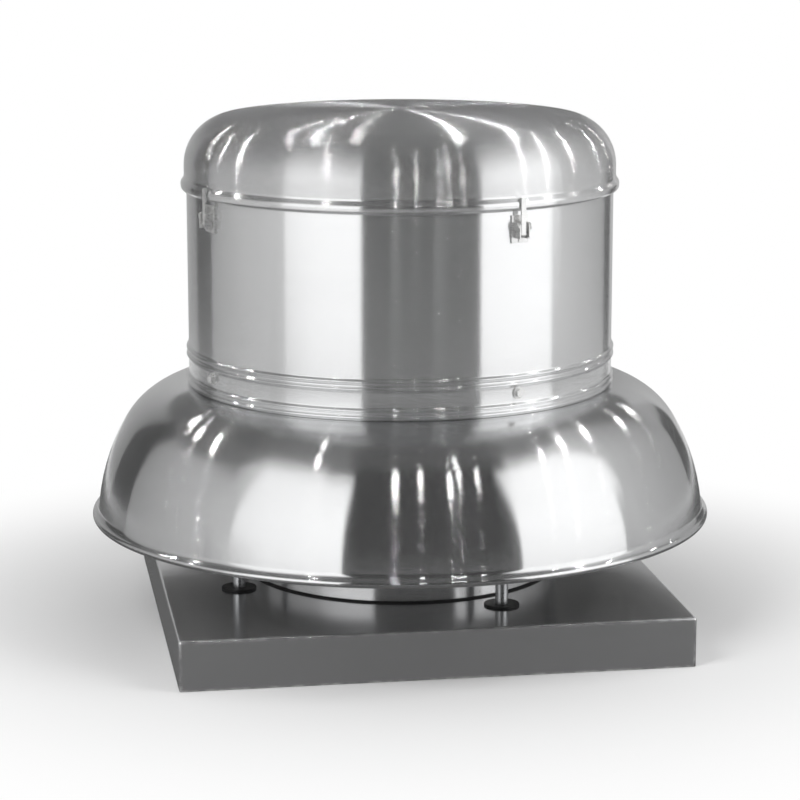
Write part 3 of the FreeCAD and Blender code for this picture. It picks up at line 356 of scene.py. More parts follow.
leaning_rings, start, end = effect(
    "leaning_rings", {"Rings per metre": 40000.0, "Lean": 0.2, "Stray": 0.5, "Matt above": 0.7},
    ["Matt"], normals=["Normal"],
)
tree = leaning_rings
axes, _, distance = axis_places(tree)
slant = maths(tree, "MULTIPLY_ADD", axes["Y"], slant_share, axes["X"])
profile = put(tree, "ShaderNodeCombineXYZ", {
    label: maths(tree, "MULTIPLY", value, start.outputs["Rings per metre"])
    for label, value in (("X", distance), ("Y", axes["Z"]), ("Z", slant))
}).outputs[0]
wave = noise(tree, profile, 1.0, 0.0)
torn = noise(tree, profile, torn_scale, 0.0)
strays = maths(tree, "GREATER_THAN", noise(tree, profile, stray_scale, 0.0), stray_above)
upright = put(tree, "ShaderNodeNewGeometry").outputs["Normal"]
round_way = put(tree, "ShaderNodeTangent", direction_type="RADIAL", axis="Z").outputs[0]
along = vector_maths(tree, "CROSS_PRODUCT", upright, round_way)
reach = spread(tree, strays, 0.0, 1.0, start.outputs["Lean"], start.outputs["Stray"])
turn = maths(tree, "TANGENT", spread(tree, wave, 0.0, 1.0, -widest_turn, widest_turn))
lean = maths(tree, "MULTIPLY", turn, reach)
leant = put(tree, "ShaderNodeVectorMath", {0: along, 3: lean}, operation="SCALE").outputs[0]
facing_out = vector_maths(tree, "NORMALIZE", vector_maths(tree, "ADD", upright, leant))
feed(tree, end, Matt=maths(tree, "GREATER_THAN", torn, start.outputs["Matt above"]), Normal=facing_out)
print("leaning rings:", [item.name for item in leaning_rings.interface.items_tree])

# %% [markdown]
# ### Brushed grain
#
# Sheet that came from the rolling mill has a grain in one direction. The noise is squeezed
# across the grain and stretched along it. The stretch is an input, so the same group gives long
# mill lines on the curb cap and short scratches on the small plated parts.

# %% Brushed grain
brushed_grain, start, end = effect(
    "brushed_grain",
    {"Lines per metre": 900.0, "Stretch": 40.0, "Clouds per metre": 9.0},
    ["Lines", "Clouds"],
)
tree = brushed_grain
place = object_place(tree)
axes = put(tree, "ShaderNodeSeparateXYZ", {0: place}).outputs
slow = maths(tree, "DIVIDE", start.outputs["Lines per metre"], start.outputs["Stretch"])
spot = put(tree, "ShaderNodeCombineXYZ", {
    "X": maths(tree, "MULTIPLY", axes["X"], slow),
    "Y": maths(tree, "MULTIPLY", axes["Y"], start.outputs["Lines per metre"]),
    "Z": maths(tree, "MULTIPLY", axes["Z"], start.outputs["Lines per metre"]),
}).outputs[0]
lines = noise(tree, spot, 1.0, 3.0)
clouds = noise(tree, place, start.outputs["Clouds per metre"], 4.0)
feed(tree, end, Lines=spread(tree, lines, 0.3, 0.7), Clouds=spread(tree, clouds, 0.3, 0.7))
print("brushed grain ready")

# %% [markdown]
# ### Rubbed edges
#
# Corners lose their finish first. The Bevel node gives the normal that a rounded corner would
# have, and where it differs from the true normal there is an edge. A little noise breaks the
# line up, since wear is never even.

# %% Rubbed edges
rubbed_edges, start, end = effect(
    "rubbed_edges", {"Width": 0.0012, "Strength": 1.0, "Patches per metre": 120.0}, ["Mask"],
)
tree = rubbed_edges
rounded = put(tree, "ShaderNodeBevel", {"Radius": start.outputs["Width"]}, samples=4).outputs[0]
true_normal = put(tree, "ShaderNodeNewGeometry").outputs["Normal"]
edge = spread(tree, vector_maths(tree, "DOT_PRODUCT", rounded, true_normal), 0.999, 0.93)
patches = noise(tree, object_place(tree), start.outputs["Patches per metre"], 3.0)
broken = maths(tree, "MULTIPLY", edge, spread(tree, patches, 0.35, 0.6))
feed(tree, end, Mask=maths(tree, "MULTIPLY", broken, start.outputs["Strength"], clamp=True))
print("rubbed edges ready")

# %% [markdown]
# ### Settled dust
#
# Dust lies on faces that look up and gathers in clouds. The mask is the upward part of the
# normal times a cloudy noise, and a small share of fine specks.

# %% Settled dust
settled_dust, start, end = effect(
    "settled_dust", {"Amount": 0.3, "Clouds per metre": 14.0, "Specks per metre": 700.0}, ["Mask"],
)
tree = settled_dust
facing_up = put(tree, "ShaderNodeSeparateXYZ", {
    0: put(tree, "ShaderNodeNewGeometry").outputs["Normal"],
}).outputs["Z"]
place = object_place(tree)
cloud = noise(tree, place, start.outputs["Clouds per metre"], 5.0)
specks = noise(tree, place, start.outputs["Specks per metre"], 1.0)
lying = maths(tree, "MULTIPLY", spread(tree, facing_up, 0.2, 0.95), spread(tree, cloud, 0.35, 0.75))
dotted = maths(tree, "MULTIPLY", lying, spread(tree, specks, 0.3, 0.65, 0.5, 1.0))
feed(tree, end, Mask=maths(tree, "MULTIPLY", dotted, start.outputs["Amount"], clamp=True))
print("settled dust ready")

# %% [markdown]
# ### Cast and moulded grain
#
# Castings, rubber and paint have a skin with no direction: small pits and bumps with a coarser
# swell under them. One group serves them all at different scales.

# %% Skin grain
skin_grain, start, end = effect(
    "skin_grain", {"Grains per metre": 900.0, "Swells per metre": 60.0}, ["Height", "Tone"],
)
tree = skin_grain
place = object_place(tree)
grains = noise(tree, place, start.outputs["Grains per metre"], 2.0)
swells = noise(tree, place, start.outputs["Swells per metre"], 3.0)
height = maths(tree, "MULTIPLY_ADD", swells, 1.5, grains)
feed(tree, end, Height=height, Tone=spread(tree, swells, 0.3, 0.7))
print("skin grain ready")

# %% [markdown]
# ## Finishes
#
# Every finish starts from one Principled shader. The helper below gives the shader and the tree,
# and mixes two colours by a mask, since that is how worn, dusty and cloudy surfaces are made.

# %% Start a finish
def new_finish(name, metallic=0.0, roughness=0.5):
    """A material with a Principled shader, its tree and its shader."""
    material = bpy.data.materials.new(name)
    material.use_nodes = True
    tree = material.node_tree
    shader = tree.nodes["Principled BSDF"]
    shader.inputs["Metallic"].default_value = metallic
    shader.inputs["Roughness"].default_value = roughness
    return material, tree, shader


def blend_colours(tree, mask, first, second):
    """The first colour where the mask is 0 and the second where it is 1."""
    node = tree.nodes.new("ShaderNodeMix")
    node.data_type = "RGBA"
    sockets = {socket.name: socket for socket in node.inputs if socket.enabled}
    for label, value in (("Factor", mask), ("A", first), ("B", second)):
        if isinstance(value, bpy.types.NodeSocket):
            tree.links.new(value, sockets[label])
        elif label == "Factor":
            sockets[label].default_value = value
        else:
            sockets[label].default_value = (*value, 1.0)
    return next(socket for socket in node.outputs if socket.enabled)


def raise_bumps(tree, shader, height, depth, normal=None):
    """Feeds a height in noise units into the shader's normal; depth is in metres."""
    bump = put(tree, "ShaderNodeBump", {"Height": height, "Distance": depth})
    if normal is not None:
        feed(tree, bump, Normal=normal)
    feed(tree, shader, Normal=bump.outputs["Normal"])


dust_colour = (0.45, 0.43, 0.40)


def age(tree, shader, plain, worn, edge_colour, lying):
    """Rubs a colour bright where it is worn and lays dust over it."""
    rubbed = blend_colours(tree, worn, plain, edge_colour)
    feed(tree, shader, Base_Color=blend_colours(tree, lying, rubbed, dust_colour))


print("finish helpers ready")


# %% [markdown]
# ### Spun aluminium
#
# The marks run round the part, so the metal shines in streaks that run up and down it: the
# reflection is sharp across and smeared along the profile, and a small lamp becomes a line that
# runs to the centre of the dome. That is an anisotropic highlight, with the tangent taken round
# the Z axis, and the leaning rings make it longer still. The marks that can be seen are kept
# very shallow; they change the roughness a little from band to band.
#
# A share of the fine rings is torn and matt, and a thin film of oxide scatters some light too.
# The cap has most of this haze, the windband next to none. Inside, the windband is darker: painted shade,
# with a little dust on top.

# %% Spun aluminium
clean_aluminium = ((0.93, 0.935, 0.94), (0.88, 0.885, 0.89))
skirt_aluminium = ((0.84, 0.845, 0.85), (0.78, 0.785, 0.79))
# Darker tones for the windband's inside: painted shade, not dirt.
shade_darkened_aluminium = ((0.80, 0.80, 0.79), (0.66, 0.66, 0.65))
matt_roughness = 0.9
mark_depth = 0.0000015


def spun_aluminium(name, roughness, lean, stray, matt_above, haze, dust, tones=clean_aluminium):
    """Spun sheet; the two roughness limits bound the bands, matt_above says how few rings are torn."""
    material, tree, shader = new_finish(name, metallic=1.0)
    shader.inputs["Anisotropic"].default_value = 1.0
    shader.inputs["Anisotropic Rotation"].default_value = 0.25
    tangent = put(tree, "ShaderNodeTangent", direction_type="RADIAL", axis="Z").outputs[0]
    marks = use(tree, turning_marks, Rings_per_metre=1200.0, Broad_bands_per_metre=26.0)
    rings = use(tree, leaning_rings, Lean=lean, Stray=stray, Matt_above=matt_above)
    grain = use(tree, brushed_grain, Lines_per_metre=300.0, Stretch=1.0, Clouds_per_metre=7.0)
    lying = use(tree, settled_dust, Amount=dust)["Mask"]
    tone = maths(tree, "MULTIPLY_ADD", marks["Broad"], 0.3, maths(tree, "MULTIPLY", grain["Clouds"], 0.5))
    metal = blend_colours(tree, tone, *tones)
    feed(tree, shader, Tangent=tangent, Metallic=spread(tree, lying, 0.0, 1.0, 1.0 - haze, 0.2),
         Base_Color=blend_colours(tree, lying, metal, dust_colour))
    banded = maths(tree, "MULTIPLY_ADD", marks["Broad"], 0.6, maths(tree, "MULTIPLY", marks["Fine"], 0.4))
    rough = maths(tree, "ADD", spread(tree, banded, 0.0, 1.0, *roughness), lying, clamp=True)
    matt = maths(tree, "MULTIPLY", rings["Matt"], matt_roughness)
    feed(tree, shader, Roughness=maths(tree, "MAXIMUM", rough, matt))
    raise_bumps(tree, shader, marks["Height"], mark_depth, normal=rings["Normal"])
    return material


band_metal = spun_aluminium("band_metal", (0.19, 0.21), 0.10, 0.3, 0.65, haze=0.02, dust=0.01)
skirt_metal = spun_aluminium("skirt_metal", (0.13, 0.15), 0.07, 1.1, 0.78, haze=0.0, dust=0.01,
                             tones=skirt_aluminium)
# The windband's inside: darker tones as painted shade, rougher, with a little dust.
skirt_inside = spun_aluminium("skirt_inside", (0.30, 0.40), 0.2, 0.5, 0.62, haze=0.15, dust=0.1,
                              tones=shade_darkened_aluminium)
dome_metal = spun_aluminium("dome_metal", (0.17, 0.20), 0.60, 1.3, 0.61, haze=0.03, dust=0.02)
venturi_metal = spun_aluminium("venturi_metal", (0.20, 0.26), 0.2, 0.4, 0.65, haze=0.03, dust=0.08)
print("spun finishes:", [m.name for m in bpy.data.materials if m.name.endswith(("_metal", "_inside"))])

# %% [markdown]
# ### Curb cap sheet
#
# The curb cap shows as a dark glossy tray, but it isn't a dark metal: it is bright rolled sheet
# that mirrors the dark underside of the fan and a dark floor. Where it mirrors the wall of the
# venturi and the posts it is as bright as they are. It has a faint grain along one side, slight
# waves from the press brake and rubbed edges where it was handled. The rubbed edges are also a
# painted highlight: a light, less metallic line along every edge. A thin film of oxide makes
# the open corners lighter than the part under the windband.

# %% Curb cap sheet
tray_dark = (0.80, 0.80, 0.81)
tray_light = (0.86, 0.86, 0.87)
tray_edge_wear_and_highlight = (0.90, 0.90, 0.90)
brake_waves = 14.0

curb_sheet, tree, shader = new_finish("curb_sheet", metallic=1.0)
grain = use(tree, brushed_grain, Lines_per_metre=700.0, Stretch=60.0, Clouds_per_metre=5.0)
# The rubbed-edge mask is wide and strong here: besides wear it paints a light line along the cap's edges, a
# painted highlight.
worn = use(tree, rubbed_edges, Width=0.0036, Strength=1.0)["Mask"]
lying = use(tree, settled_dust, Amount=0.03)["Mask"]
age(tree, shader, blend_colours(tree, grain["Clouds"], tray_dark, tray_light), worn, tray_edge_wear_and_highlight, lying)
dull = maths(tree, "MAXIMUM", lying, worn)
# Rubbed edges also lose metallic, so they catch the soft light: part of the painted edge highlight.
feed(tree, shader, Metallic=spread(tree, dull, 0.0, 1.0, 0.93, 0.45),
     Roughness=spread(tree, grain["Lines"], 0.0, 1.0, 0.13, 0.19))
wavy = maths(tree, "MULTIPLY_ADD", grain["Clouds"], brake_waves, grain["Lines"])
raise_bumps(tree, shader, wavy, 0.00002)
print("curb cap finish ready")

# %% [markdown]
# ### Plain metals
#
# The hardware is zinc-plated, the drive's steelwork is galvanised, shafts are ground bright and
# bearings are cast. They differ in colour, roughness and grain, so one function makes them all
# from their own numbers: a base tone, a second tone for the clouds, and how far edges are rubbed.

# %% Plain metals
def plain_metal(name, tones, roughness, lines, depth, stretch=12.0, edge=0.5, dust=0.1, metallic=1.0):
    """A metal with brushed grain, cloudy tone and rubbed edges."""
    material, tree, shader = new_finish(name, metallic=metallic)
    grain = use(tree, brushed_grain, Lines_per_metre=lines, Stretch=stretch, Clouds_per_metre=40.0)
    worn = use(tree, rubbed_edges, Width=0.0007, Strength=edge)["Mask"]
    lying = use(tree, settled_dust, Amount=dust, Clouds_per_metre=40.0)["Mask"]
    age(tree, shader, blend_colours(tree, grain["Clouds"], *tones), worn, (0.82, 0.82, 0.81), lying)
    rough = spread(tree, grain["Lines"], 0.0, 1.0, *roughness)
    rubbed = maths(tree, "MULTIPLY", worn, 0.1)
    feed(tree, shader, Roughness=maths(tree, "SUBTRACT", rough, rubbed, clamp=True))
    raise_bumps(tree, shader, grain["Lines"], depth)
    return material


zinc_plate = plain_metal(
    "zinc_plate", ((0.70, 0.70, 0.69), (0.58, 0.59, 0.60)), (0.25, 0.38), 1500.0, 0.00002)
bright_steel = plain_metal(
    "bright_steel", ((0.86, 0.86, 0.85), (0.76, 0.76, 0.76)), (0.24, 0.34), 1200.0, 0.00001, metallic=0.8)
post_metal = plain_metal(
    "post_metal", ((0.62, 0.63, 0.64), (0.48, 0.49, 0.50)), (0.24, 0.36), 1300.0, 0.00002)
ground_shaft = plain_metal(
    "ground_shaft", ((0.60, 0.60, 0.59), (0.50, 0.50, 0.49)), (0.15, 0.24), 2500.0, 0.00001)
print("plain metals ready")

# %% [markdown]
# ### Galvanised sheet
#
# Hot zinc freezes in flakes, the spangle, that each catch the light a little differently. A
# Voronoi texture has exactly such cells: their random colour turns into small steps of tone and
# roughness.

# %% Galvanised sheet
galvanised, tree, shader = new_finish("galvanised", metallic=1.0)
flakes = put(tree, "ShaderNodeTexVoronoi", {"Vector": object_place(tree), "Scale": 110.0}, feature="F1")
flake_tone = put(tree, "ShaderNodeSeparateColor", {0: flakes.outputs["Color"]}).outputs[0]
worn = use(tree, rubbed_edges, Width=0.001, Strength=0.6)["Mask"]
lying = use(tree, settled_dust, Amount=0.2)["Mask"]
plain = blend_colours(tree, flake_tone, (0.50, 0.52, 0.53), (0.64, 0.65, 0.66))
age(tree, shader, plain, worn, (0.78, 0.78, 0.78), lying)
feed(tree, shader, Roughness=spread(tree, flake_tone, 0.0, 1.0, 0.34, 0.5))
raise_bumps(tree, shader, flake_tone, 0.00003)
print("galvanised finish ready")

# %% [markdown]
# ### Rubber, cast iron, paint and plastic
#
# These have no direction, only a skin. Rubber is nearly black with a soft sheen and greys at its
# edges. Cast iron is dark and pitted. The motor has a thick grey enamel that shows bare metal
# only at its corners.

# %% Skins with no direction
def skin(name, tones, roughness, grains, depth, edge_colour, edge=0.5, dust=0.3, metallic=0.0):
    """A moulded, cast or painted skin with worn edges and dust."""
    material, tree, shader = new_finish(name, metallic=metallic)
    grain = use(tree, skin_grain, Grains_per_metre=grains, Swells_per_metre=grains / 12)
    worn = use(tree, rubbed_edges, Width=0.0008, Strength=edge)["Mask"]
    lying = use(tree, settled_dust, Amount=dust, Clouds_per_metre=30.0)["Mask"]
    age(tree, shader, blend_colours(tree, grain["Tone"], *tones), worn, edge_colour, lying)
    feed(tree, shader, Roughness=spread(tree, grain["Tone"], 0.0, 1.0, *roughness))
    raise_bumps(tree, shader, grain["Height"], depth)
    return material


black_rubber = skin("black_rubber", ((0.012, 0.012, 0.013), (0.022, 0.022, 0.023)), (0.38, 0.55),
                    1600.0, 0.00005, (0.05, 0.05, 0.05), dust=0.12)
belt_rubber = skin("belt_rubber", ((0.02, 0.02, 0.02), (0.035, 0.034, 0.033)), (0.6, 0.75),
                   2200.0, 0.00010, (0.09, 0.085, 0.08))
cast_iron = skin("cast_iron", ((0.10, 0.105, 0.11), (0.16, 0.165, 0.17)), (0.45, 0.6),
                 700.0, 0.00012, (0.45, 0.45, 0.44), metallic=0.6)
bearing_paint = skin("bearing_paint", ((0.045, 0.10, 0.075), (0.06, 0.125, 0.095)), (0.35, 0.5),
                     600.0, 0.00015, (0.35, 0.36, 0.36))
motor_enamel = skin("motor_enamel", ((0.16, 0.18, 0.20), (0.20, 0.22, 0.24)), (0.28, 0.42),
                    500.0, 0.00012, (0.5, 0.5, 0.5))
switch_plastic = skin("switch_plastic", ((0.02, 0.02, 0.022), (0.028, 0.028, 0.03)), (0.3, 0.42),
                      1200.0, 0.00006, (0.06, 0.06, 0.06))
print("skins ready")

# %% [markdown]
# ## Windband
#
# The windband is the wide skirt: a flange under the motor compartment, a tight neck, a full
# shoulder, a long falling side that flares at the foot, and an edge rolled round a wire. One
# trace follows its outer face. The rolled edge is left hollow, as real sheet is, and the wire is
# a separate ring inside it.

# %% Windband
sheet_thin = 0.0013
windband_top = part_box("windband")[1].z
windband_start = 0.198
flange_length = 0.0366
neck_bend, neck_turn = 0.103, 15.8
shoulder_bend, shoulder_turn = 0.0882, 43.8
skirt_bend, skirt_turn = 0.2328, 24.5
flare_bend, flare_turn = 0.009, 59.0
lip_radius, lip_turn = 0.004, 215.0
# Height above the lip's bottom below which inward faces keep the bright finish, outside the painted shade.
unshaded_foot = 0.006
facing_up_share = 0.05

places = trace((windband_start, windband_top), 0, [
    (flange_length,),
    (neck_bend, -neck_turn),
    (shoulder_bend, -shoulder_turn),
    (skirt_bend, -skirt_turn),
    (flare_bend, flare_turn),
    (lip_radius, -lip_turn),
])
skirt = spin("windband_shell", sheet_loop(places, -sheet_thin), segments=shell_around)
lip_bottom = min(height for _, height, _ in places)
print("windband: %d faces, widest %.4f m" % (len(skirt.data.polygons), max(p[0] for p in places)))
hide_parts("windband")
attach(skirt, "housing")
skirt.data.materials.append(skirt_metal)
skirt.data.materials.append(skirt_inside)
# Inward faces above the foot get the darker finish: painted shade inside the windband.
for face in skirt.data.polygons:
    spot, way = face.center, face.normal
    outward = way.x * spot.x + way.y * spot.y + way.z * facing_up_share
    if outward < 0 and spot.z > lip_bottom + unshaded_foot:
        face.material_index = 1
print("shade-darkened faces:", sum(face.material_index for face in skirt.data.polygons))

# %% The wire in the rolled edge
def join_loops(work, loops):
    """Makes the faces between each closed loop of points and the next."""
    for first, second in zip(loops, loops[1:]):
        for side in range(len(first)):
            onward = (side + 1) % len(first)
            work.faces.new((first[side], second[side], second[onward], first[onward]))


def tube_ring(name, centre_radius, centre_height, radius, segments=around, sides=16):
    """A round ring about Z, such as a wire."""
    work = bmesh.new()
    loops = []
    for k in range(segments):
        angle = math.tau * k / segments
        loop = []
        for side in range(sides):
            turn = math.tau * side / sides
            reach = centre_radius + radius * math.cos(turn)
            loop.append(work.verts.new((reach * math.cos(angle), reach * math.sin(angle),
                                        centre_height + radius * math.sin(turn))))
        loops.append(loop)
    join_loops(work, loops + loops[:1])
    return finish_mesh(name, work)


wire_radius = 0.0026

curl = places[-1]
curl_centre = (curl[0] + math.sin(curl[2]) * lip_radius, curl[1] - math.cos(curl[2]) * lip_radius)
wire = tube_ring("windband_wire", *curl_centre, wire_radius)
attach(wire, "housing")
wire.data.materials.append(zinc_plate)
print("curl centre at radius %.4f, height %.4f" % curl_centre)

# %% [markdown]
# ## Motor band
#
# The band is a rolled cylinder. Four ridges, in two pairs, stiffen its foot; they are pressed
# from a flat sheet, so their corners are soft. The CAD has them as plain trapezoids. Here the
# same corner points are rounded with short curves, which is what catches the thin bright lines.

# %% Motor band
band_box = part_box("motor_band")
band_radius = 0.2404
band_sheet = 0.0015
band_low = band_box[0].z
band_high = band_box[1].z
ridge_levels = (0.0034, 0.0104, 0.0336, 0.0416)
ridge_half = 0.003
ridge_flat_half = 0.00075
ridge_out = 0.0026
ridge_softness = 0.0011
flange_reach = 0.008

outer_line = [(band_radius, band_low)]
for level in ridge_levels:
    middle = band_low + level
    outer_line.append((band_radius, middle - ridge_half))
    outer_line.append((band_radius + ridge_out, middle - ridge_flat_half))
    outer_line.append((band_radius + ridge_out, middle + ridge_flat_half))
    outer_line.append((band_radius, middle + ridge_half))
outer_line += [(band_radius, band_high), (band_radius - flange_reach, band_high)]
inner_line = [
    (band_radius - flange_reach, band_high - band_sheet),
    (band_radius - band_sheet, band_high - band_sheet),
    (band_radius - band_sheet, band_low),
]
band = spin("motor_band_shell", soften(outer_line, ridge_softness) + inner_line, segments=shell_around)
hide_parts("motor_band")
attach(band, "housing")
band.data.materials.append(band_metal)
print("band: %d faces, %.1f mm high" % (len(band.data.polygons), (band_high - band_low) * 1000))

# %% [markdown]
# ## Top cap
#
# The cap is a flat dome with a wide rounded shoulder and a straight wall that slips over the
# band. Its rim is rolled outward into a bead, which the latches pull on. The crown is a very
# shallow cone-like curve that peaks at the centre, where the tool's marks all meet.

# %% Top cap
cap_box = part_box("top_cap")
cap_rim = cap_box[0].z
cap_top = cap_box[1].z
cap_radius = 0.243
cap_sheet = 0.0015
cap_shoulder = 0.056
cap_blend = 0.017
crown_slope = 4.3
crown_steps = 12
blend_turn = 15.0
bead_height = 0.0142
bead_drop = 0.0046
bead_out = 0.0039
bead_slope_out = 0.0034
bead_lead = 0.002
bead_softness = 0.0016

slope = math.radians(crown_slope)
steep = math.radians(crown_slope + blend_turn)
crown_edge = (cap_radius - cap_shoulder * (1 - math.sin(steep))
              - cap_blend * (math.sin(steep) - math.sin(slope)))
crown_bend = crown_edge / math.sin(slope)
dome = trace((0, cap_top), 0, [
    *[(crown_bend, -crown_slope / crown_steps)] * crown_steps,
    (cap_blend, -blend_turn),
    (cap_shoulder, crown_slope + blend_turn - 90),
])
dome.append((cap_radius, cap_rim + bead_height, dome[-1][2]))
bead_top = cap_rim + bead_height
bead_line = [
    (cap_radius, bead_top + bead_lead),
    (cap_radius, bead_top),
    (cap_radius + bead_slope_out, bead_top - bead_drop),
    (cap_radius + bead_out, bead_top - bead_drop * 1.5),
    (cap_radius + bead_slope_out, cap_rim + bead_drop / 2),
    (cap_radius, cap_rim),
    (cap_radius - cap_sheet, cap_rim),
]
face = [(radius, height) for radius, height, _ in dome[:-1]]
under = [(max(0.0, radius + math.sin(turn) * cap_sheet), height - math.cos(turn) * cap_sheet)
         for radius, height, turn in dome]
cap = spin("top_cap_shell", face + soften(bead_line, bead_softness) + under[::-1], segments=shell_around)
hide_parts("top_cap")
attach(cap, "cap")
cap.data.materials.append(dome_metal)
cap.data.materials.append(band_metal)
for bead_face in cap.data.polygons:
    if bead_face.center.z < bead_top + cap_sheet:
        bead_face.material_index = 1
print("cap: crown bend %.2f m, top %.4f, rim %.4f" % (crown_bend, cap_top, cap_rim))

# %% [markdown]
# ## Inlet venturi
#
# The ring under the fan that gathers the air. From outside only the foot of its wall shows, as
# the round band that rises out of the curb cap.

# %% Inlet venturi
venturi_radius = 0.174
venturi_sheet = 0.0013
curb_floor = 0.0534
inlet_flat = 0.0145
inlet_foot_bend = 0.0015
inlet_wall = 0.018
entry_bend = 0.032
cone_angle = 60
throat_bend = 0.012
throat_length = 0.008
throat_radius = 0.112

foot_reach = inlet_flat + inlet_foot_bend
cone_turn = math.radians(cone_angle)
bends_reach = (entry_bend + throat_bend) * (1 - math.cos(cone_turn))
cone_length = (venturi_radius - throat_radius - bends_reach) / math.sin(cone_turn)
inlet = trace((venturi_radius + foot_reach, curb_floor), 180, [
    (inlet_flat,),
    (inlet_foot_bend, -90),
    (inlet_wall,),
    (entry_bend, cone_angle),
    (cone_length,),
    (throat_bend, -cone_angle),
    (throat_length,),
])
venturi = spin("inlet_venturi_shell", sheet_loop(inlet, venturi_sheet))
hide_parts("inlet_venturi")
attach(venturi, "housing")
venturi.data.materials.append(venturi_metal)

# %% [markdown]
# ## Flexible conduit
#
# The wires run from the switch box to the motor in a flexible metal tube, wound from one strip
# that hooks into itself. The CAD has it as a plain round bar along its path: up, over in two
# bends, and down. The strip shows as a spiral rib, so the tube's radius is made to swell and
# shrink with the place along the path plus the way round, which is what a helix is.

# %% The conduit's path
conduit_foot = Vector((0.0, 0.207, 0.375))
conduit_end = Vector((0.1323, 0.083, 0.395))
conduit_bend = 0.060
conduit_straight = 0.030

across = Vector((conduit_end.x - conduit_foot.x, conduit_end.y - conduit_foot.y, 0))
level_run = across.length - 2 * conduit_bend
across.normalize()
sideways = Vector((0, 0, 1)).cross(across)
quarter = conduit_bend * math.pi / 2


def conduit_place(s):
    """The centre and the outward direction of the conduit at a length s along it."""
    up = Vector((0, 0, 1))
    if s < conduit_straight:
        return conduit_foot + up * s, -across
    s -= conduit_straight
    corner = conduit_foot + up * conduit_straight + across * conduit_bend
    if s < quarter:
        turn = s / conduit_bend
        outward = -across * math.cos(turn) + up * math.sin(turn)
        return corner + outward * conduit_bend, outward
    s -= quarter
    if s < level_run:
        return corner + up * conduit_bend + across * s, up
    s -= level_run
    corner += across * level_run
    if s < quarter:
        turn = s / conduit_bend
        outward = up * math.cos(turn) + across * math.sin(turn)
        return corner + outward * conduit_bend, outward
    s -= quarter
    return corner + across * conduit_bend - up * s, across


end_drop = conduit_foot.z + conduit_straight - conduit_end.z
conduit_length = conduit_straight + 2 * quarter + level_run + end_drop
print("conduit: %.0f mm long" % (conduit_length * 1000))

# %% The conduit's ribs
conduit_radius = 0.0065
conduit_pitch = 0.0044
rib_depth = 0.0007
rib_narrowing = 1.5
rings_per_pitch = 7

sides = 20
steps = round(conduit_length / (conduit_pitch / rings_per_pitch))
work = bmesh.new()
loops = []
for k in range(steps + 1):
    s = conduit_length * k / steps
    centre, outward = conduit_place(s)
    loop = []
    for side in range(sides):
        swell = abs(math.sin(math.pi * (s / conduit_pitch + side / sides)))
        reach = conduit_radius - rib_depth * (1 - swell) ** rib_narrowing
        angle = math.tau * side / sides
        loop.append(work.verts.new(centre + (outward * math.cos(angle) + sideways * math.sin(angle)) * reach))
    loops.append(loop)
join_loops(work, loops)
work.faces.new(loops[0][::-1])
work.faces.new(loops[-1])
conduit = finish_mesh("motor_conduit_ribbed", work, crisp=math.radians(60))
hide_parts("motor_conduit")
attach(conduit, "housing")
conduit.data.materials.append(galvanised)
print("conduit:", round(conduit_length / conduit_pitch), "ribs,", len(conduit.data.polygons), "faces")

# %% [markdown]
# ## Finishes for the parts that keep their CAD shape
#
# Each part is paired with its finish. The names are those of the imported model.

# %% Dress the CAD parts
def dress(finish, *nodes):
    """Puts a finish on CAD parts."""
    for node in nodes:
        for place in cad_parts[node].material_slots:
            place.material = finish


numbers = (1, 2, 3, 4)
dress(curb_sheet, "curb_cap")
dress(post_metal, *["support_post_%d" % n for n in numbers])
dress(black_rubber, "post_isolators", "venturi_seal")
dress(zinc_plate, "post_nuts", "frame_bolts", "bearing_bolts", "tension_studs", "tension_nuts",
      "motor_bolts", "chase_locknuts", "hub_bolts", "conduit_fittings")
dress(bright_steel, "collar_screws", "latch_rivets")
for n in numbers:
    dress(bright_steel, "latch_base_%d" % n, "latch_lever_%d" % n, "latch_hook_%d" % n)
dress(galvanised, "motor_pan", "drive_frame", "motor_plate", "motor_foot", "wiring_chase",
      "switch_box", "switch_cover")
dress(bearing_paint, "lower_bearing", "upper_bearing")
dress(ground_shaft, "fan_shaft", "motor_shaft", "bearing_inner_rings", "set_screws")
dress(cast_iron, "driven_sheave", "motor_sheave")
dress(belt_rubber, "drive_belt")
dress(motor_enamel, "motor_shell", "motor_lower_bell", "motor_upper_bell", "terminal_box")
dress(venturi_metal, "wheel_shroud", "wheel_blades", "wheel_back_plate", "wheel_hub")
dress(switch_plastic, "switch_toggle")
print("CAD parts dressed:", sum(1 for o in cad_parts.values() if not o.hide_render))

# %% [markdown]
# ### Softened corners
#
# Real sheet and plated strip has no knife edges. The CAD parts keep their meshes; a modifier
# welds the facets together and rounds only the corners sharper than an angle, so each edge of a
# latch or of the curb cap can catch a line of light.

# %% Softened corners
def soften_corners(radius, *nodes):
    """Rounds the sharp corners of CAD parts by a small radius."""
    for node in nodes:
        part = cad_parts[node]
        weld = part.modifiers.new("weld", "WELD")
        weld.merge_threshold = 0.00001
        rounding = part.modifiers.new("rounding", "BEVEL")
        rounding.width = radius
        rounding.segments = 2
        rounding.limit_method = "ANGLE"
        rounding.angle_limit = math.radians(40)
        rounding.harden_normals = True


soften_corners(0.0004, "curb_cap")
soften_corners(0.00015, *["latch_%s_%d" % (kind, n) for kind in ("base", "lever", "hook") for n in numbers])
soften_corners(0.0002, "motor_plate", "motor_foot", "drive_frame", "switch_box", "switch_cover",
               "terminal_box")
print("corners softened")

# %% [markdown]
# ## The studio
#
# Polished metal has hardly a colour of its own: it shows the room. The room here is a ring of
# upright boards that stand on the floor round the fan: two bright ones at the front left and
# right with dimmer panels above them, a dark one behind the camera, grey ones at the sides that
# fade towards the back, narrow dark strips between them, a dark ring behind them all, a dark
# ceiling and a dark card on the floor. Only glossy rays see them, so they shape the reflections
# and don't light the scene or hide the fan from a camera that goes round it. The even light that
# everything else needs comes from the world and two soft lamps.

# %% How a board glows and stands
board_ring = 1.6
aim_centre = 0.35


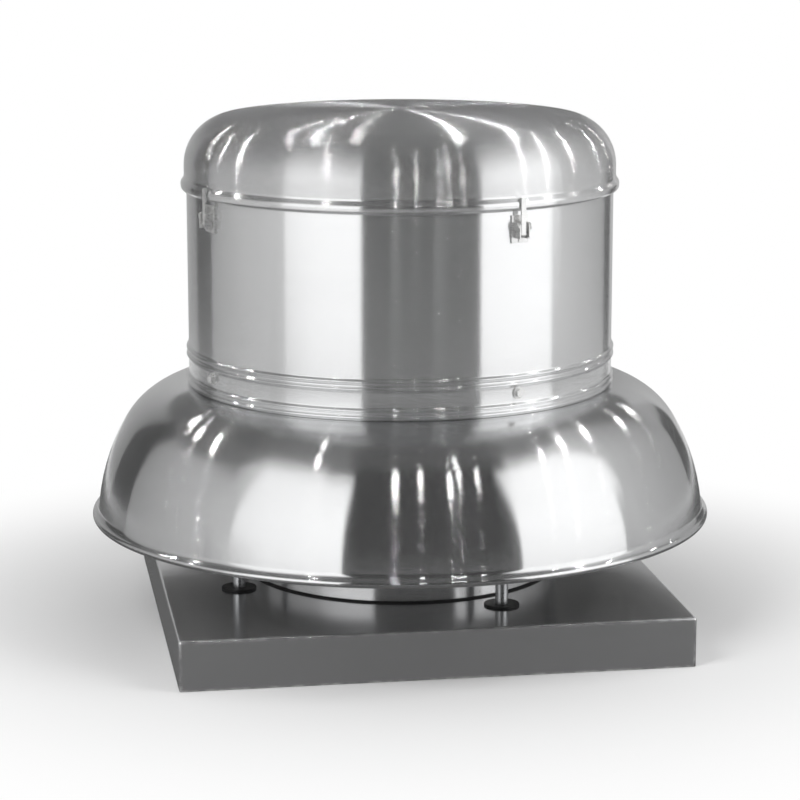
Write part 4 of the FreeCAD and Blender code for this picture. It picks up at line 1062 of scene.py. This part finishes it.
def glow(name, level, end_level=None, low_angle=0.0, high_angle=0.0):
    """An emitting finish of one grey level, or one that fades between two azimuths."""
    material = bpy.data.materials.new(name)
    material.use_nodes = True
    tree = material.node_tree
    tree.nodes.clear()
    if end_level is not None:
        middle = math.radians((low_angle + high_angle) / 2)
        half = math.radians(abs(high_angle - low_angle) / 2)
        place = object_place(tree)
        across = vector_maths(tree, "DOT_PRODUCT", place, (math.cos(middle), math.sin(middle), 0))
        ahead = vector_maths(tree, "DOT_PRODUCT", place, (math.sin(middle), -math.cos(middle), 0))
        turn = maths(tree, "ARCTAN2", across, ahead)
        level = spread(tree, turn, -half, half, level, end_level)
    light = put(tree, "ShaderNodeEmission", {"Color": (1, 1, 1, 1), "Strength": level})
    out = put(tree, "ShaderNodeOutputMaterial")
    feed(tree, out, Surface=light.outputs[0])
    return material


def stage_place(azimuth, reach, height):
    """A point round the fan; the azimuth is in degrees, from the front towards +X."""
    angle = math.radians(azimuth)
    return (reach * math.sin(angle), -reach * math.cos(angle), height)


def for_reflections_only(board):
    """Marks a board as stage that only glossy rays see."""
    board.visible_camera = False
    board.visible_diffuse = False
    board.visible_transmission = False
    board.visible_shadow = False


def stand_board(name, corners, levels, reach=board_ring, foot=0.0):
    """A bent upright board; corners are (azimuth, elevation of the top), levels its two ends."""
    work = bmesh.new()
    columns = []
    for (low, low_top), (high, high_top) in zip(corners, corners[1:]):
        steps = max(2, math.ceil(abs(high - low) / 5))
        for k in range(steps + 1):
            share = k / steps
            azimuth = low + (high - low) * share
            top = aim_centre + reach * math.tan(math.radians(low_top + (high_top - low_top) * share))
            columns.append([work.verts.new(stage_place(azimuth, reach, z)) for z in (foot, top)])
    for first, second in zip(columns, columns[1:]):
        if (first[0].co - second[0].co).length > hair:
            work.faces.new((first[0], second[0], second[1], first[1]))
    board = finish_mesh(name, work)
    board.data.materials.append(glow(name + "_glow", *levels, corners[0][0], corners[-1][0]))
    for_reflections_only(board)
    return board


print("boards point at a height of", aim_centre, "m")

# %% The boards
near_ring = 1.3
far_ring = 1.75
boards = (
    ("left_softbox", ((-66.5, 34.5), (-27.3, 34.5)), (1.14, 1.32), near_ring),
    ("left_foot", ((-76, -4), (-52, -4)), (0.52, 1.20), near_ring - 0.02),
    ("left_panel", ((-76, 46), (-60, 49), (-42, 46)), (0.62, 0.62), near_ring + 0.02),
    ("right_softbox", ((30, 35), (42, 38), (50, 41), (71.5, 43)), (1.28, 1.28), near_ring),
    ("right_wing", ((71.5, 42), (77, 36)), (1.28, 1.28), near_ring, 0.48),
    ("right_panel", ((40, 43), (56, 49), (80, 49)), (0.40, 0.60), near_ring + 0.02),
    ("dark_front", ((-45, 60), (45, 60)), (0.06, 0.06)),
    ("left_grey", ((-122, 24), (-45, 24)), (0.32, 0.79)),
    ("right_grey", ((45, 66), (125, 58)), (0.78, 0.33)),
    ("left_strip", ((-141, 26), (-122, 26)), (0.07, 0.07)),
    ("right_strip", ((125, 6), (138, 6)), (0.09, 0.09)),
    ("right_gap", ((125, 20), (139, 20)), (0.36, 0.38), board_ring + 0.02),
    ("back_right", ((139, 19), (180, 2)), (0.54, 0.16)),
    ("back_left", ((180, 8), (219, 26)), (0.55, 0.24)),
    ("dark_ring_left", ((-180, 62), (0, 62)), (0.15, 0.15), far_ring),
    ("dark_ring_right", ((0, 62), (180, 62)), (0.15, 0.15), far_ring),
)
for board in boards:
    stand_board(*board)
print("boards stand at", near_ring, board_ring, "and", far_ring, "m")

# %% [markdown]
# ### Small lamps
#
# The small lamps make the long curved lines on the cap. A line appears where the sum of the
# directions to the lamp and to the eye has no part along the turning marks, so each lamp draws a
# straight radius over the dome, brightest where it would mirror the lamp.

# %% The ceiling, the floor card and the small lamps
def aimed(centre, target, front="Z"):
    """A placement at a centre, with one of its axes turned to a target."""
    aim = (Vector(target) - Vector(centre)).normalized()
    return Matrix.Translation(centre) @ aim.to_track_quat(front, "Y").to_matrix().to_4x4()


def lay_disc(name, centre, radius, level, look_at=(0, 0, 0.45)):
    """A flat disc turned to a point: a small lamp, the ceiling or the card on the floor."""
    work = bmesh.new()
    bmesh.ops.create_circle(work, cap_ends=True, segments=48, radius=radius)
    disc = finish_mesh(name, work)
    disc.matrix_world = aimed(centre, look_at)
    disc.data.materials.append(glow(name + "_glow", level))
    for_reflections_only(disc)
    return disc


ceiling_height = 2.35
ceiling_radius = 2.2
card_drop = 0.0002
card_radius = 1.26
dark_level = 0.11
lay_disc("ceiling", (0, 0, ceiling_height), ceiling_radius, dark_level)
lay_disc("floor_card", (0, 0, -card_drop), card_radius, dark_level)
spots = (
    (-139, 32, 160), (-122, 34, 180), (-105, 36, 420), (-161, 52, 190), (-171, 51, 280), (180, 52, 110),
    (-92, 70, 60), (-52, 50, 110), (-11, 31, 170), (-1, 33, 100), (10, 28, 120), (15, 34, 70), (22, 32, 70),
    (19, 50, 55), (62, 42, 120), (85, 45, 280), (106, 40, 240), (120, 27, 140), (131, 20, 90),
    (159, 51, 420), (150, 45, 280),
)
spot_reach = 1.25
spot_radius = 0.011
for number, (azimuth, rise, level) in enumerate(spots, 1):
    climb = math.radians(rise)
    height = aim_centre + spot_reach * math.sin(climb)
    centre = stage_place(azimuth, spot_reach * math.cos(climb), height)
    lay_disc("spot_%d" % number, centre, spot_radius, level, look_at=(0, 0, aim_centre))
print("small lamps:", len(spots))

# %% [markdown]
# ### Floor, world and soft lamps
#
# The floor is plain and nearly white. Round the fan it is an ordinary matt surface that takes
# the shadow; further out it turns, for the camera and for reflections, into flat white, so that
# the background has no horizon. The world does the same: it is white to the camera and in
# reflections, and a plain grey level as a light.

# %% Floor
shadow_edge = (0.36, 0.8)
floor_radius = 40
floor_drop = 0.0004


def seen_or_mirrored(tree):
    """1 for rays from the camera, off mirrors and through glass, 0 for what lights the scene."""
    kind = put(tree, "ShaderNodeLightPath").outputs
    mirrored = maths(tree, "MAXIMUM", kind["Is Glossy Ray"], kind["Is Transmission Ray"])
    return maths(tree, "MAXIMUM", kind["Is Camera Ray"], mirrored)


floor_white, tree, shader = new_finish("floor_white", roughness=0.9)
shader.inputs["Base Color"].default_value = (0.86, 0.86, 0.86, 1)
shader.inputs["Specular IOR Level"].default_value = 0.0
distance = vector_maths(tree, "LENGTH", object_place(tree))
far = put(tree, "ShaderNodeMapRange", {
    "Value": distance, "From Min": shadow_edge[0], "From Max": shadow_edge[1],
}, interpolation_type="SMOOTHSTEP").outputs["Result"]
white = put(tree, "ShaderNodeEmission", {"Color": (1, 1, 1, 1), "Strength": 1.0})
mix = put(tree, "ShaderNodeMixShader", {
    0: maths(tree, "MULTIPLY", seen_or_mirrored(tree), far), 1: shader.outputs[0], 2: white.outputs[0],
})
feed(tree, tree.nodes["Material Output"], Surface=mix.outputs[0])

work = bmesh.new()
bmesh.ops.create_circle(work, cap_ends=True, segments=64, radius=floor_radius)
floor = finish_mesh("floor", work)
floor.location.z = -floor_drop
floor.data.materials.append(floor_white)
print("floor ready")

# %% World and lamps
world_light = 0.55
lamp_out = 2.0
lamp_height = 2.0
lamp_size = 1.4
lamp_target = (0, 0, 0.3)

world = bpy.data.worlds.new("studio")
scene.world = world
world.use_nodes = True
tree = world.node_tree
background = tree.nodes["Background"]
background.inputs["Color"].default_value = (1, 1, 1, 1)
feed(tree, background, Strength=spread(tree, seen_or_mirrored(tree), 0.0, 1.0, world_light, 1.0))

for name, azimuth, energy in (("left_lamp", -51, 28.0), ("right_lamp", 61, 22.0)):
    lamp_data = bpy.data.lights.new(name, "AREA")
    lamp_data.shape = "DISK"
    lamp_data.size = lamp_size
    lamp_data.energy = energy
    lamp = bpy.data.objects.new(name, lamp_data)
    place = stage_place(azimuth, lamp_out, lamp_height)
    lamp.matrix_world = aimed(place, lamp_target, front="-Z")
    lamp.visible_glossy = False
    scene.collection.objects.link(lamp)
print("lamps ready")
